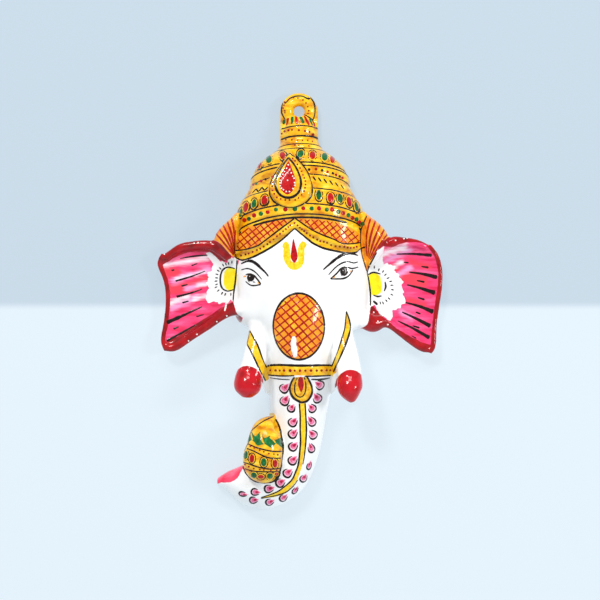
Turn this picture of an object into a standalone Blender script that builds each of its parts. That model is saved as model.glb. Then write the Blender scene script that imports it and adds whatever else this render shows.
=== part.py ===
"""Wall mask of an elephant-headed figure: one thin-walled casting, hollow behind, with a hanging eye.

Metres, +Z up. The face looks along -Y, and the back rim lies on the wall, the plane y = 0.
The origin is on the wall plane, in the middle of the hanging hole.
"""

import math

import bmesh
import bpy
from mathutils import Vector

# Driving sizes
HEIGHT = 0.270
WALL = 0.0042
HOLE_RADIUS = 0.0036
EAR_THICKNESS = 0.0046
GRID = 418.4
UNIT = HEIGHT / GRID

# The free form is laid out in units as seen from the front: x to the right of the hole, z above it,
# and depth in front of the wall. GRID is its height in units once its creases are softened.
VOXEL = 1.7
SMOOTH_ROUNDS = 3
KEPT_TRIANGLES = 0.050
CAVITY_VOXEL = 3.0
CAVITY_KEPT = 0.10
SECTION_POINTS = 52
BACK_OVERLAP = 2.0

# Crown rings from the top down: z at the front, drop of the ring's ends, half width, depth.
CROWN_RINGS = (
    (-3, 1, 6, 12), (-5, 2, 11.5, 16), (-9, 3, 15.5, 18.5), (-14, 4, 17.5, 20),
    (-15.2, 4, 18.6, 21.6), (-23, 4, 18.8, 21.8), (-24.4, 4, 18, 20.6), (-29, 4, 20, 23.2),
    (-30.2, 4, 20.4, 22.2), (-34.5, 4.5, 23.4, 25.8), (-35.7, 4.5, 24.4, 25), (-38.8, 5, 30.5, 29),
    (-41.5, 7, 36.4, 33), (-45, 10, 42.6, 36.8), (-49.2, 13, 47, 39.3), (-51.4, 13.6, 46.5, 38.4),
    (-53, 14, 49.6, 41), (-61.5, 15, 50.8, 42.6), (-63, 15, 49.4, 41), (-64.6, 15, 51.6, 43.2),
    (-74.4, 14, 57, 45), (-76.2, 14, 56.6, 43.8), (-78, 15, 60.6, 47.2), (-85, 17, 64, 49.2),
    (-91.6, 20, 65, 49.8), (-93.2, 21, 66.6, 52.2), (-102, 23, 67.4, 52.8),
    (-104.2, 24, 66.6, 50.8), (-109, 24, 65.6, 48.6), (-118, 24, 64, 44),
)
CROWN_SHIFT = 1.0
CAVITY_CROWN_FROM = 12

# Face stations from the brow down: x of the middle, z, half width, depth.
FACE_STATIONS = (
    (1, -92, 60, 42), (1, -112, 63, 45), (2.5, -138, 65.5, 46), (3.5, -164, 67.5, 46.5),
    (3.5, -189, 67, 46), (3, -203, 67.5, 44), (4.5, -211, 65, 41), (7, -216.5, 59.5, 37),
    (5.5, -220.5, 50, 31),
)
FACE_SQUARENESS = 2.5
TRUNK_BLEND = 16

# Trunk stations from between the eyes to the tip: x, z, half width, depth.
TRUNK_STATIONS = (
    (-1, -134, 34, 29), (-0.5, -162, 40, 47), (0, -188, 42.5, 56.5), (0.5, -214, 42, 60),
    (1, -240, 38, 57), (1, -261, 34.5, 50.5), (0.5, -281, 31.5, 43), (-1, -301, 29.5, 38.5),
    (-2.5, -324, 27, 35), (-8, -346, 26.5, 32), (-18, -361, 29, 30), (-33, -371.5, 28, 28),
    (-47, -374, 24, 25), (-59, -372.5, 18.5, 21), (-70, -371, 11, 16), (-82.5, -371.5, 3.5, 10),
)
TRUNK_BAND_STATIONS = (
    (1, -254.5, 35, 52.4), (1, -256, 36.4, 53.6), (1, -266, 35.2, 51.2), (1, -267.5, 33.5, 48.6),
)
CAVITY_TRUNK_TO = 12

# Round limbs: x, z, depth of the middle, half width, half depth.
LEFT_TUSK = (
    (-38.6, -207, 24, 9, 9), (-40.5, -224, 30, 10.2, 10), (-43.4, -241, 36, 11.5, 11),
    (-46, -256, 41, 12.2, 12), (-49.4, -268, 43.5, 12.6, 12),
)
LEFT_TUSK_TIP = (
    (-49, -256, 41, 8.5, 9), (-50.4, -261.5, 42.5, 11.8, 12), (-51, -268, 44, 13.6, 14.2),
    (-51.1, -274, 45, 14.2, 14.6), (-51.4, -280.5, 45.5, 11.8, 12.5), (-51.8, -286.5, 45.5, 4.5, 6),
)
LEFT_WEB = (
    (-42, -208, 20, 10, 14), (-39.5, -228, 22, 10.5, 16), (-36.5, -248, 20, 9.5, 17),
    (-34, -267, 15, 6, 14), (-31, -283, 11, 2.5, 9),
)
RIGHT_TUSK = (
    (42.5, -209, 24, 9, 9), (45, -227, 30, 10.2, 10), (47.6, -243, 36, 11.6, 11),
    (50, -260, 41, 12.4, 12), (50.8, -271, 43.5, 12, 12),
)
RIGHT_TUSK_TIP = (
    (50, -260, 41, 9, 9), (50.4, -265, 42.5, 12, 12), (50.6, -272, 44, 13.1, 14.2),
    (51, -279.5, 45.5, 12, 13.5), (52.4, -286.5, 45.5, 7.4, 9), (53.6, -291, 45.5, 2.5, 4),
)
RIGHT_WEB = (
    (44, -210, 20, 10, 14), (42, -230, 22, 10.5, 16), (39.5, -250, 20, 9.5, 17),
    (36.5, -268, 15, 6.5, 14), (32.5, -283, 11, 2.5, 9),
)
SWEET = (
    (-25.5, -305.5, 22, 1, 3), (-29.5, -310, 25, 7, 8), (-33, -317, 28, 13, 13),
    (-34, -326, 30, 16.4, 16), (-34.7, -336, 31, 18.4, 18), (-36.4, -347, 30.5, 20, 19),
    (-36.4, -355, 30, 19, 18), (-35.6, -363, 29.5, 15.6, 15.5), (-35, -369, 29, 9.6, 11),
    (-35, -372.6, 28.5, 2, 5),
)
LEFT_KNOT = (
    (-60, -102, 24, 3, 8), (-64.5, -111, 22, 6, 12), (-69.5, -120.5, 20, 10, 14),
    (-72.5, -129.5, 18, 12.6, 13.5), (-71, -138.5, 17, 8, 11), (-66, -148, 16, 2.5, 6),
)
RIGHT_KNOT = (
    (62, -101, 24, 3, 8), (67, -110, 22, 6.8, 12), (73.5, -120, 20, 10.6, 14),
    (77.5, -130, 18, 12.6, 13.5), (75.5, -142, 17, 8, 11), (70.5, -155, 16, 3, 6),
)

# Ear edges: x, z from the head outwards along the top and the bottom, and down the outer side.
# Rims: x, z, radius from the head outwards.
LEFT_EAR = {
    "top": ((-56, -150), (-70, -144), (-86, -133), (-104, -131), (-121, -133.5), (-136, -143)),
    "bottom": (
        (-56, -202), (-67, -204), (-78, -209), (-90, -218), (-106, -228.5), (-125, -240), (-133, -240),
    ),
    "outer": (
        (-136, -143), (-140, -153), (-134, -169), (-131.5, -186), (-133.5, -210), (-136.5, -229),
        (-133, -240),
    ),
    "top rim": (
        (-70, -147, 4.4), (-78, -139.5, 5.6), (-89, -134, 5), (-104, -134, 4.6), (-120, -137, 4.2),
        (-134, -147, 3.6),
    ),
    "bottom rim": (
        (-60, -196, 8), (-70, -199, 7.2), (-80, -206, 5.4), (-92, -215, 4.6), (-108, -225.5, 4.4),
        (-124, -236, 4.4), (-132.5, -236.5, 4.2),
    ),
}
RIGHT_EAR = {
    "top": ((60, -142), (78, -138), (93, -128), (104, -127), (118, -128.5), (130, -134)),
    "bottom": (
        (60, -216), (70, -219), (76, -220), (83, -217), (90, -216.5), (99, -223), (111, -233),
        (122, -240), (131, -242),
    ),
    "outer": (
        (130, -134), (138, -145), (141.8, -161), (141.4, -176), (138.6, -196), (136, -215),
        (135, -235), (131, -242),
    ),
    "top rim": (
        (87.5, -134.5, 4.6), (95, -130.5, 5.4), (104, -130.5, 4.8), (117, -132, 4.2),
        (127.5, -136, 3.6),
    ),
    "bottom rim": (
        (65, -208, 9), (74, -212.4, 9.4), (84, -210.5, 6.8), (92, -213.5, 5), (101, -220.5, 4.6),
        (112, -229.5, 4.4), (123, -236.5, 4.4), (130.5, -238, 4.2),
    ),
}
EAR_ROWS = 28
EAR_COLUMNS = 24
EAR_ROOT_DEPTH = 22
EAR_EDGE_DEPTH = 12
EAR_DISH = 7
EAR_RIM_SINK = 1.0
EAR_OUTER_RIM = 2.6

# Scalloped brim over the brow: share of the way across, z of its lower edge.
BRIM_EDGE = (
    (0, -140), (0.12, -143), (0.25, -137.5), (0.38, -128.5), (0.485, -117), (0.59, -128.5),
    (0.72, -136.5), (0.88, -139.5), (1, -136),
)
BRIM_PROUD = 2.4
BRIM_BORDER = 2.0
BRIM_TOP = -100

# Jewel on the crown: a drop, which is a circle under two straight sides that meet at its tip.
JEWEL_X, JEWEL_Z = -8.5, -76
JEWEL_RADIUS, JEWEL_TIP = 21, 36
JEWEL_TIP_DEPTH, JEWEL_FOOT_DEPTH = 42, 57
# Its steps: share of the outline, height above the plate's face.
JEWEL_STEPS = ((1.0, -16), (1.0, -1.5), (0.93, 0), (0.66, 0.6), (0.6, 2.2), (0.45, 2.8), (0.2, 3.0))

# Hanging eye: a round-topped plate with a ring on it.
EYE_RADIUS = 19
EYE_PLATE_DEPTH = 7.5
EYE_RING_DEPTH = 8
EYE_FOOT_Z = -36
RING_BORE_MARGIN = 0.2


def at(x, z, depth):
    """A point of the layout grid, in metres."""
    return Vector((x, -depth, z)) * UNIT


def clear_scene():
    """Removes whatever the file starts with."""
    for old in list(bpy.data.objects):
        bpy.data.objects.remove(old, do_unlink=True)


def through(points, count):
    """Evenly spread points on a smooth curve through the given tuples."""
    spans = len(points) - 1
    made = []
    for step in range(count):
        place = step / (count - 1) * spans
        i = min(int(place), spans - 1)
        t = place - i
        before = points[max(i - 1, 0)]
        start, end = points[i], points[i + 1]
        after = points[min(i + 2, spans)]
        made.append(tuple(
            b + 0.5 * t * (c - a + t * (2 * a - 5 * b + 4 * c - d + t * (3 * b - a - 3 * c + d)))
            for a, b, c, d in zip(before, start, end, after)
        ))
    return made


def half_section(half_width, depth, squareness=2.0):
    """(across, depth) of a domed section, from its left foot over the front to its right foot."""
    points = []
    for k in range(SECTION_POINTS + 1):
        angle = math.pi * k / SECTION_POINTS
        cosine, sine = math.cos(angle), math.sin(angle)
        across = -math.copysign(abs(cosine) ** (2 / squareness), cosine) * half_width
        points.append((across, max(sine, 0) ** (2 / squareness) * depth))
    return points


def add_loft(mesh, rings):
    """Skins closed rings of points one after another and caps both ends."""
    loops = [[mesh.verts.new(point) for point in ring] for ring in rings]
    for lower, upper in zip(loops, loops[1:]):
        for k in range(len(lower)):
            after = (k + 1) % len(lower)
            mesh.faces.new((lower[k], lower[after], upper[after], upper[k]))
    mesh.faces.new(loops[0][::-1])
    mesh.faces.new(loops[-1])


def add_plate(mesh, front, back):
    """Closes two grids of points of the same size into a plate."""
    grids = [[[mesh.verts.new(point) for point in row] for row in grid] for grid in (front, back)]
    rows, columns = len(front), len(front[0])
    for layer, grid in enumerate(grids):
        for i in range(rows - 1):
            for j in range(columns - 1):
                corners = (grid[i][j], grid[i + 1][j], grid[i + 1][j + 1], grid[i][j + 1])
                mesh.faces.new(corners[::-1] if layer else corners)
    border = [(i, 0) for i in range(rows)]
    border += [(rows - 1, j) for j in range(1, columns)]
    border += [(i, columns - 1) for i in range(rows - 2, -1, -1)]
    border += [(0, j) for j in range(columns - 2, 0, -1)]
    for (i, j), (m, n) in zip(border, border[1:] + border[:1]):
        mesh.faces.new((grids[0][i][j], grids[1][i][j], grids[1][m][n], grids[0][m][n]))


def crown_rings(inset=0.0, first=0):
    """The crown's tilted rings as points, drawn in by an inset for the hollow."""
    rings = []
    for z, drop, half_width, depth in CROWN_RINGS[first:]:
        ring = []
        for across, out in half_section(half_width - inset, depth - inset):
            ring.append(at(CROWN_SHIFT + across, z - drop * (1 - out / (depth - inset)), out))
        rings.append(with_back(ring))
    return rings


def with_back(ring):
    """Closes a domed section behind the wall plane."""
    right, left = ring[-1].copy(), ring[0].copy()
    right.y = left.y = BACK_OVERLAP * UNIT
    return ring + [right, left]


def domed_rings(stations, count, inset=0.0):
    """Domed sections square to a path in the picture plane: x, z, half width, depth."""
    path = through(stations, count)
    rings = []
    for k, (x, z, half_width, depth) in enumerate(path):
        ahead, behind = path[min(k + 1, count - 1)], path[max(k - 1, 0)]
        along = Vector((ahead[0] - behind[0], ahead[1] - behind[1])).normalized()
        side = Vector((-along.y, along.x))
        ring = [at(x + side.x * across, z + side.y * across, out)
                for across, out in half_section(half_width - inset, depth - inset)]
        rings.append(with_back(ring))
    return rings


def round_rings(stations, count, points=28):
    """Elliptical sections square to a path: x, z, depth of the middle, half width, half depth."""
    path = through(stations, count)
    rings = []
    for k, (x, z, middle, half_width, half_depth) in enumerate(path):
        ahead, behind = path[min(k + 1, count - 1)], path[max(k - 1, 0)]
        along = Vector((ahead[0] - behind[0], ahead[1] - behind[1])).normalized()
        side = Vector((-along.y, along.x))
        ring = []
        for j in range(points):
            angle = 2 * math.pi * j / points
            across = half_width * math.cos(angle)
            ring.append(at(x + side.x * across, z + side.y * across, middle + half_depth * math.sin(angle)))
        rings.append(ring)
    return rings


def smooth_max(first, second, width):
    """The larger of two depths, with a rounded change from one to the other."""
    share = max(width - abs(first - second), 0) / width
    return max(first, second) + share * share * width / 4


def face_rings(count, inset=0.0):
    """The face's sections, with the trunk's root growing out of them."""
    trunk = through(TRUNK_STATIONS, 4 * count)
    rings = []
    for x, z, half_width, depth in through(FACE_STATIONS, count):
        root_x, _, root_half, root_depth = min(trunk, key=lambda station: abs(station[1] - z))
        ring = []
        for across, out in half_section(half_width - inset, depth - inset, FACE_SQUARENESS):
            share = (x + across - root_x) / (root_half - inset)
            root = (root_depth - inset) * math.sqrt(1 - share * share) if abs(share) < 1 else -TRUNK_BLEND
            ring.append(at(x + across, z, smooth_max(out, root, TRUNK_BLEND)))
        rings.append(with_back(ring))
    return rings


def face_depth(across, z):
    """Depth of the face's surface at a height, at a share across from -1 to 1."""
    path = through(FACE_STATIONS, 60)
    x, _, half_width, depth = min(path, key=lambda station: abs(station[1] - z))
    out = max(1 - abs(across) ** FACE_SQUARENESS, 0) ** (1 / FACE_SQUARENESS)
    return x + across * half_width, out * depth


def add_brim(mesh):
    """The brim over the brow, with its scalloped lower border as a bead."""
    columns = 48
    edge = through(BRIM_EDGE, columns)
    border, front, back = [], [], []
    for share, lowest in edge:
        across = -math.cos(math.pi * min(max(share, 0.02), 0.98))
        column_front, column_back = [], []
        for step in range(13):
            z = BRIM_TOP + (lowest - BRIM_TOP) * step / 12
            x, depth = face_depth(across, z)
            column_front.append(at(x * 1.012, z, depth + BRIM_PROUD))
            column_back.append(at(x * 0.97, z, max(depth - 3 * BRIM_PROUD, 0)))
        front.append(column_front)
        back.append(column_back)
        x, depth = face_depth(across, lowest)
        border.append((x * 1.012, lowest + BRIM_BORDER, depth + BRIM_PROUD * 0.6, BRIM_BORDER, BRIM_BORDER))
    add_plate(mesh, front, back)
    add_loft(mesh, round_rings(border, 2 * columns, 12))


def ear_grid(edges):
    """A patch between the ear's four edges: the root is a straight line from top to bottom."""
    top = through(edges["top"], EAR_COLUMNS)
    bottom = through(edges["bottom"], EAR_COLUMNS)
    outer = through(edges["outer"], EAR_ROWS)
    root = through((top[0], bottom[0]), EAR_ROWS)
    grid = []
    for j in range(EAR_COLUMNS):
        s = j / (EAR_COLUMNS - 1)
        column = []
        for i in range(EAR_ROWS):
            t = i / (EAR_ROWS - 1)
            column.append(tuple(
                (1 - s) * root[i][c] + s * outer[i][c] + (1 - t) * top[j][c] + t * bottom[j][c]
                - (1 - s) * (1 - t) * top[0][c] - (1 - s) * t * bottom[0][c]
                - s * (1 - t) * top[-1][c] - s * t * bottom[-1][c]
                for c in (0, 1)
            ))
        grid.append(column)
    return grid


def ear_depth(s, t):
    """Depth of an ear's front: it leans back outwards, and is dished between its rims."""
    lean = EAR_ROOT_DEPTH + (EAR_EDGE_DEPTH - EAR_ROOT_DEPTH) * s
    ripple = 1.1 * math.sin(2 * math.pi * (t * 2.5 + 0.1)) * s
    return lean - EAR_DISH * math.sin(math.pi * t) * math.sin(math.pi * min(0.25 + 0.6 * s, 1)) + ripple


def add_ear(mesh, edges):
    """A dished plate with a rolled rim along its top and bottom and a thinner one outside."""
    grid = ear_grid(edges)
    thick = EAR_THICKNESS / UNIT
    front, back = [], []
    for j, column in enumerate(grid):
        s = j / (EAR_COLUMNS - 1)
        depths = [ear_depth(s, i / (EAR_ROWS - 1)) for i in range(EAR_ROWS)]
        front.append([at(x, z, depth) for (x, z), depth in zip(column, depths)])
        back.append([at(x, z, depth - thick) for (x, z), depth in zip(column, depths)])
    add_plate(mesh, front, back)
    for name, t in (("top rim", 0), ("bottom rim", 1)):
        root, end = edges[name][0][0], grid[-1][0][0]
        rim = [(x, z, ear_depth((x - root) / (end - root), t) - EAR_RIM_SINK, radius, radius)
               for x, z, radius in edges[name]]
        first, last = rim[0], rim[-1]
        rim.insert(0, (*first[:3], first[3] * 0.5, first[4] * 0.5))
        rim.append((*last[:3], last[3] * 0.5, last[4] * 0.5))
        add_loft(mesh, round_rings(rim, 48, 16))
    outer = [(x, z, ear_depth(1, i / (EAR_ROWS - 1)) - 1.5, EAR_OUTER_RIM, EAR_OUTER_RIM * 1.15)
             for i, (x, z) in enumerate(grid[-1])]
    add_loft(mesh, round_rings(outer, 40, 12))


def teardrop(scale, count=48):
    """(x, z) round the drop, at a share of its size."""
    tangent = math.acos(JEWEL_RADIUS / JEWEL_TIP)
    points = []
    for k in range(count):
        angle = 2 * math.pi * k / count - math.pi
        reach = JEWEL_RADIUS / math.cos(max(tangent - abs(angle), 0))
        across, up = scale * reach * math.sin(angle), scale * reach * math.cos(angle)
        points.append((JEWEL_X + across, JEWEL_Z + up))
    return points


def add_jewel(mesh):
    """A drop-shaped plate with a raised middle, set on the crown's front."""
    slope = (JEWEL_FOOT_DEPTH - JEWEL_TIP_DEPTH) / (JEWEL_TIP + JEWEL_RADIUS)
    middle = JEWEL_FOOT_DEPTH - slope * JEWEL_RADIUS
    add_loft(mesh, [
        [at(x, z, middle - slope * (z - JEWEL_Z) + proud) for x, z in teardrop(scale)]
        for scale, proud in JEWEL_STEPS
    ])


def add_eye(mesh):
    """The hanging eye's plate, and the ring on its front."""
    angles = [math.pi * k / 24 for k in range(25)]
    outline = [(EYE_RADIUS * math.cos(angle), EYE_RADIUS * math.sin(angle)) for angle in angles]
    outline += [(-EYE_RADIUS, EYE_FOOT_Z), (EYE_RADIUS, EYE_FOOT_Z)]
    layers = (-BACK_OVERLAP, EYE_PLATE_DEPTH)
    add_loft(mesh, [[at(x, z, depth) for x, z in outline] for depth in layers])
    bore = HOLE_RADIUS / UNIT + RING_BORE_MARGIN
    middle, tube = (EYE_RADIUS - 2.6 + bore) / 2, (EYE_RADIUS - 2.6 - bore) / 2
    turns = 40
    loops = []
    for k in range(turns):
        turn = 2 * math.pi * k / turns
        loop = []
        for j in range(16):
            angle = 2 * math.pi * j / 16
            out = middle + tube * math.cos(angle)
            loop.append(mesh.verts.new(at(out * math.cos(turn), out * math.sin(turn),
                                          EYE_RING_DEPTH + tube * 0.9 * math.sin(angle))))
        loops.append(loop)
    for k in range(turns):
        first, second = loops[k], loops[(k + 1) % turns]
        for j in range(16):
            after = (j + 1) % 16
            mesh.faces.new((first[j], first[after], second[after], second[j]))


def new_object(name, mesh):
    """An object from a bmesh, with its faces turned outwards."""
    bmesh.ops.recalc_face_normals(mesh, faces=mesh.faces)
    data = bpy.data.meshes.new(name)
    mesh.to_mesh(data)
    mesh.free()
    made = bpy.data.objects.new(name, data)
    bpy.context.scene.collection.objects.link(made)
    return made


def as_cutter(made):
    """Marks a helper that only cuts."""
    made.hide_render = True
    made.display_type = "WIRE"
    return made


def fused(made, voxel, kept, rounds):
    """Fuses overlapping shapes to one skin, softens its creases and thins it out."""
    remesh = made.modifiers.new("fuse", "REMESH")
    remesh.mode = "VOXEL"
    remesh.voxel_size = voxel * UNIT
    if rounds:
        smooth = made.modifiers.new("soften", "SMOOTH")
        smooth.factor = 0.5
        smooth.iterations = rounds
    thin = made.modifiers.new("thin", "DECIMATE")
    thin.ratio = kept
    return made


def cut(made, cutter):
    """Takes a cutter out of an object."""
    modifier = made.modifiers.new("cut " + cutter.name, "BOOLEAN")
    modifier.operation = "DIFFERENCE"
    modifier.solver = "MANIFOLD"
    modifier.object = cutter


def enamel(name, colour, roughness):
    """A painted surface."""
    material = bpy.data.materials.new(name)
    material.use_nodes = True
    shader = material.node_tree.nodes["Principled BSDF"]
    shader.inputs["Base Color"].default_value = (*colour, 1)
    shader.inputs["Roughness"].default_value = roughness
    shader.inputs["Metallic"].default_value = 0.0
    return material


def make_body():
    """Every outer form in one overlapping mesh, fused by its modifiers."""
    mesh = bmesh.new()
    add_loft(mesh, crown_rings())
    add_loft(mesh, face_rings(36))
    add_loft(mesh, domed_rings(TRUNK_STATIONS, 60))
    add_loft(mesh, domed_rings(TRUNK_BAND_STATIONS, 4))
    for limb in (LEFT_TUSK, LEFT_TUSK_TIP, LEFT_WEB, LEFT_KNOT,
                 RIGHT_TUSK, RIGHT_TUSK_TIP, RIGHT_WEB, RIGHT_KNOT):
        add_loft(mesh, round_rings(limb, 24))
    add_loft(mesh, round_rings(SWEET, 36))
    for edges in (LEFT_EAR, RIGHT_EAR):
        add_ear(mesh, edges)
    add_brim(mesh)
    add_jewel(mesh)
    add_eye(mesh)
    return fused(new_object("mask", mesh), VOXEL, KEPT_TRIANGLES, SMOOTH_ROUNDS)


def make_cavity():
    """The hollow behind the crown, face and trunk, one wall inside them."""
    inset = WALL / UNIT
    mesh = bmesh.new()
    add_loft(mesh, crown_rings(inset, CAVITY_CROWN_FROM))
    add_loft(mesh, face_rings(24, inset))
    add_loft(mesh, domed_rings(TRUNK_STATIONS[:CAVITY_TRUNK_TO], 40, inset))
    return as_cutter(fused(new_object("cavity", mesh), CAVITY_VOXEL, CAVITY_KEPT, 1))


def make_wall():
    """Everything behind the wall plane."""
    mesh = bmesh.new()
    bmesh.ops.create_cube(mesh, size=1.0)
    made = new_object("wall", mesh)
    made.scale = (2 * HEIGHT, HEIGHT / 4, 3 * HEIGHT)
    made.location = (0, HEIGHT / 8, 0)
    return as_cutter(made)


def make_hole():
    """The round hole through the hanging eye."""
    mesh = bmesh.new()
    bmesh.ops.create_cone(
        mesh, cap_ends=True, segments=32, radius1=HOLE_RADIUS, radius2=HOLE_RADIUS, depth=HEIGHT / 4,
    )
    made = new_object("hole", mesh)
    made.rotation_euler = (math.pi / 2, 0, 0)
    return as_cutter(made)


def main():
    clear_scene()
    body = make_body()
    for cutter in (make_cavity(), make_wall(), make_hole()):
        cut(body, cutter)
    body.data.materials.append(enamel("white enamel", (0.86, 0.85, 0.82), 0.18))


main()
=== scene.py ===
"""Looks of the elephant-headed wall mask: one thin casting under hand-painted gloss enamel.

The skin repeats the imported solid's forms on a finer mesh. Its large fields of colour belong to its own
material, and every brush line, dot and petal is a thin film of paint laid on it.
Places seen in the photograph are given in its pixels, and one pixel is one unit of the layout.
"""

import math
from itertools import cycle

import bmesh
import bpy
import numpy as np
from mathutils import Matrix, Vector, noise
from mathutils.bvhtree import BVHTree


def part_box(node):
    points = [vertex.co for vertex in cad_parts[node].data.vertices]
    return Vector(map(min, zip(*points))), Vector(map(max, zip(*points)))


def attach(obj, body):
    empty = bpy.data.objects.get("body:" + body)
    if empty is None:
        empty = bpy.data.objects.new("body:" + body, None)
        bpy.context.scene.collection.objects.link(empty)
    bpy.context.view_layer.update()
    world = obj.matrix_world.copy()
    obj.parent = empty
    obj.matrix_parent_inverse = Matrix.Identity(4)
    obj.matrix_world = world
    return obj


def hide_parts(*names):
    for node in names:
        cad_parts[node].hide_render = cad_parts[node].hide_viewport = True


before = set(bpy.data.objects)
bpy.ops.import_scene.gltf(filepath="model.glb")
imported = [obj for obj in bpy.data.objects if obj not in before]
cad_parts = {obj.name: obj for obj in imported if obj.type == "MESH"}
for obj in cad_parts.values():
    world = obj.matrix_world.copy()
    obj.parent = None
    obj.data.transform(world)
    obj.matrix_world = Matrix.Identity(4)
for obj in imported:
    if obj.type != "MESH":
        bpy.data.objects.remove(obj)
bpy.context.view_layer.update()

# The layout grid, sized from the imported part.
GRID = 418.4
LOWEST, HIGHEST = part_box("mask")
UNIT = (HIGHEST.z - LOWEST.z) / GRID
HOLE_X, HOLE_Y = 299, 111
PHOTO_SIZE = 600
PHOTO_MIDDLE = (300, 300)

# Skin
WALL = 0.0042
HOLE_RADIUS = 0.0036
EAR_THICKNESS = 0.0046
VOXEL = 1.38
SMOOTH_ROUNDS = 4
CAVITY_VOXEL = 3.0
CAVITY_SMOOTH_ROUNDS = 2
SMOOTH_FACTOR = 0.5
SKIN_REACH = 0.1
RIM_FACING = 0.9
BACK_OVERLAP = 2.0
WOBBLE = 0.22
WOBBLE_SIZE = 16
SHARP_ANGLE = math.radians(48)

# Sections along each form, and points round a section
FACE_RINGS, TRUNK_RINGS, BAND_RINGS = 48, 72, 4
LIMB_RINGS, SWEET_RINGS = 28, 40
CAVITY_FACE_RINGS, CAVITY_TRUNK_RINGS = 36, 48
RIM_RINGS, OUTER_RIM_RINGS = 48, 40
SECTION_POINTS, LIMB_POINTS, RIM_POINTS, BEAD_POINTS = 72, 32, 16, 12
JEWEL_POINTS = HOLE_SEGMENTS = 64
FACE_LOOKUP = 60

# Paint films, in units
STROKE_STEP = 1.1
FILM_LIFT = 0.07
WIDTH_GAIN = 1.45
WIDTH_MORE = 0.45
STROKE_END = 0.35
STROKE_UNEVENNESS, STROKE_WAVE = 0.22, 4
DOT_UNEVENNESS, DOT_SPREAD = 0.18, (1.7, 1.3)
STROKE_PROFILE = ((-1, -0.7), (-0.72, 0.7), (0, 1), (0.72, 0.7), (1, -0.7))
PATCH_RINGS = ((1, -0.7), (0.86, 0.75), (0.45, 1))
WIDE_RINGS = ((1, -0.7), (0.92, 0.6), (0.76, 1), (0.56, 1), (0.36, 1), (0.16, 1))
ROUND_POINTS = 14

# Crown rings from the top down: z at the front, drop of the ring's ends, half width, depth.
CROWN_RINGS = (
    (-3, 1, 6, 12), (-5, 2, 11.5, 16), (-9, 3, 15.5, 18.5), (-14, 4, 17.5, 20),
    (-15.2, 4, 18.6, 21.6), (-23, 4, 18.8, 21.8), (-24.4, 4, 18, 20.6), (-29, 4, 20, 23.2),
    (-30.2, 4, 20.4, 22.2), (-34.5, 4.5, 23.4, 25.8), (-35.7, 4.5, 24.4, 25), (-38.8, 5, 30.5, 29),
    (-41.5, 7, 36.4, 33), (-45, 10, 42.6, 36.8), (-49.2, 13, 47, 39.3), (-51.4, 13.6, 46.5, 38.4),
    (-53, 14, 49.6, 41), (-61.5, 15, 50.8, 42.6), (-63, 15, 49.4, 41), (-64.6, 15, 51.6, 43.2),
    (-74.4, 14, 57, 45), (-76.2, 14, 56.6, 43.8), (-78, 15, 60.6, 47.2), (-85, 17, 64, 49.2),
    (-91.6, 20, 65, 49.8), (-93.2, 21, 66.6, 52.2), (-102, 23, 67.4, 52.8),
    (-104.2, 24, 66.6, 50.8), (-109, 24, 65.6, 48.6), (-118, 24, 64, 44),
)
CROWN_SHIFT = 1.0
CAVITY_CROWN_FROM = 12

# Face stations from the brow down: x of the middle, z, half width, depth.
FACE_STATIONS = (
    (1, -92, 60, 42), (1, -112, 63, 45), (2.5, -138, 65.5, 46), (3.5, -164, 67.5, 46.5),
    (3.5, -189, 67, 46), (3, -203, 67.5, 44), (4.5, -211, 65, 41), (7, -216.5, 59.5, 37),
    (5.5, -220.5, 50, 31),
)
FACE_SQUARENESS = 2.5
TRUNK_BLEND = 16

# Trunk stations from between the eyes to the tip: x, z, half width, depth.
TRUNK_STATIONS = (
    (-1, -134, 34, 29), (-0.5, -162, 40, 47), (0, -188, 42.5, 56.5), (0.5, -214, 42, 60),
    (1, -240, 38, 57), (1, -261, 34.5, 50.5), (0.5, -281, 31.5, 43), (-1, -301, 29.5, 38.5),
    (-2.5, -324, 27, 35), (-8, -346, 26.5, 32), (-18, -361, 29, 30), (-33, -371.5, 28, 28),
    (-47, -374, 24, 25), (-59, -372.5, 18.5, 21), (-70, -371, 11, 16), (-82.5, -371.5, 3.5, 10),
)
TRUNK_BAND_STATIONS = (
    (1, -254.5, 35, 52.4), (1, -256, 36.4, 53.6), (1, -266, 35.2, 51.2), (1, -267.5, 33.5, 48.6),
)
CAVITY_TRUNK_TO = 12

# Round limbs: x, z, depth of the middle, half width, half depth.
LEFT_TUSK = (
    (-38.6, -207, 24, 9, 9), (-40.5, -224, 30, 10.2, 10), (-43.4, -241, 36, 11.5, 11),
    (-46, -256, 41, 12.2, 12), (-49.4, -268, 43.5, 12.6, 12),
)
LEFT_TUSK_TIP = (
    (-49, -256, 41, 8.5, 9), (-50.4, -261.5, 42.5, 11.8, 12), (-51, -268, 44, 13.6, 14.2),
    (-51.1, -274, 45, 14.2, 14.6), (-51.4, -280.5, 45.5, 11.8, 12.5), (-51.8, -286.5, 45.5, 4.5, 6),
)
LEFT_WEB = (
    (-42, -208, 20, 10, 14), (-39.5, -228, 22, 10.5, 16), (-36.5, -248, 20, 9.5, 17),
    (-34, -267, 15, 6, 14), (-31, -283, 11, 2.5, 9),
)
RIGHT_TUSK = (
    (42.5, -209, 24, 9, 9), (45, -227, 30, 10.2, 10), (47.6, -243, 36, 11.6, 11),
    (50, -260, 41, 12.4, 12), (50.8, -271, 43.5, 12, 12),
)
RIGHT_TUSK_TIP = (
    (50, -260, 41, 9, 9), (50.4, -265, 42.5, 12, 12), (50.6, -272, 44, 13.1, 14.2),
    (51, -279.5, 45.5, 12, 13.5), (52.4, -286.5, 45.5, 7.4, 9), (53.6, -291, 45.5, 2.5, 4),
)
RIGHT_WEB = (
    (44, -210, 20, 10, 14), (42, -230, 22, 10.5, 16), (39.5, -250, 20, 9.5, 17),
    (36.5, -268, 15, 6.5, 14), (32.5, -283, 11, 2.5, 9),
)
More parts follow.
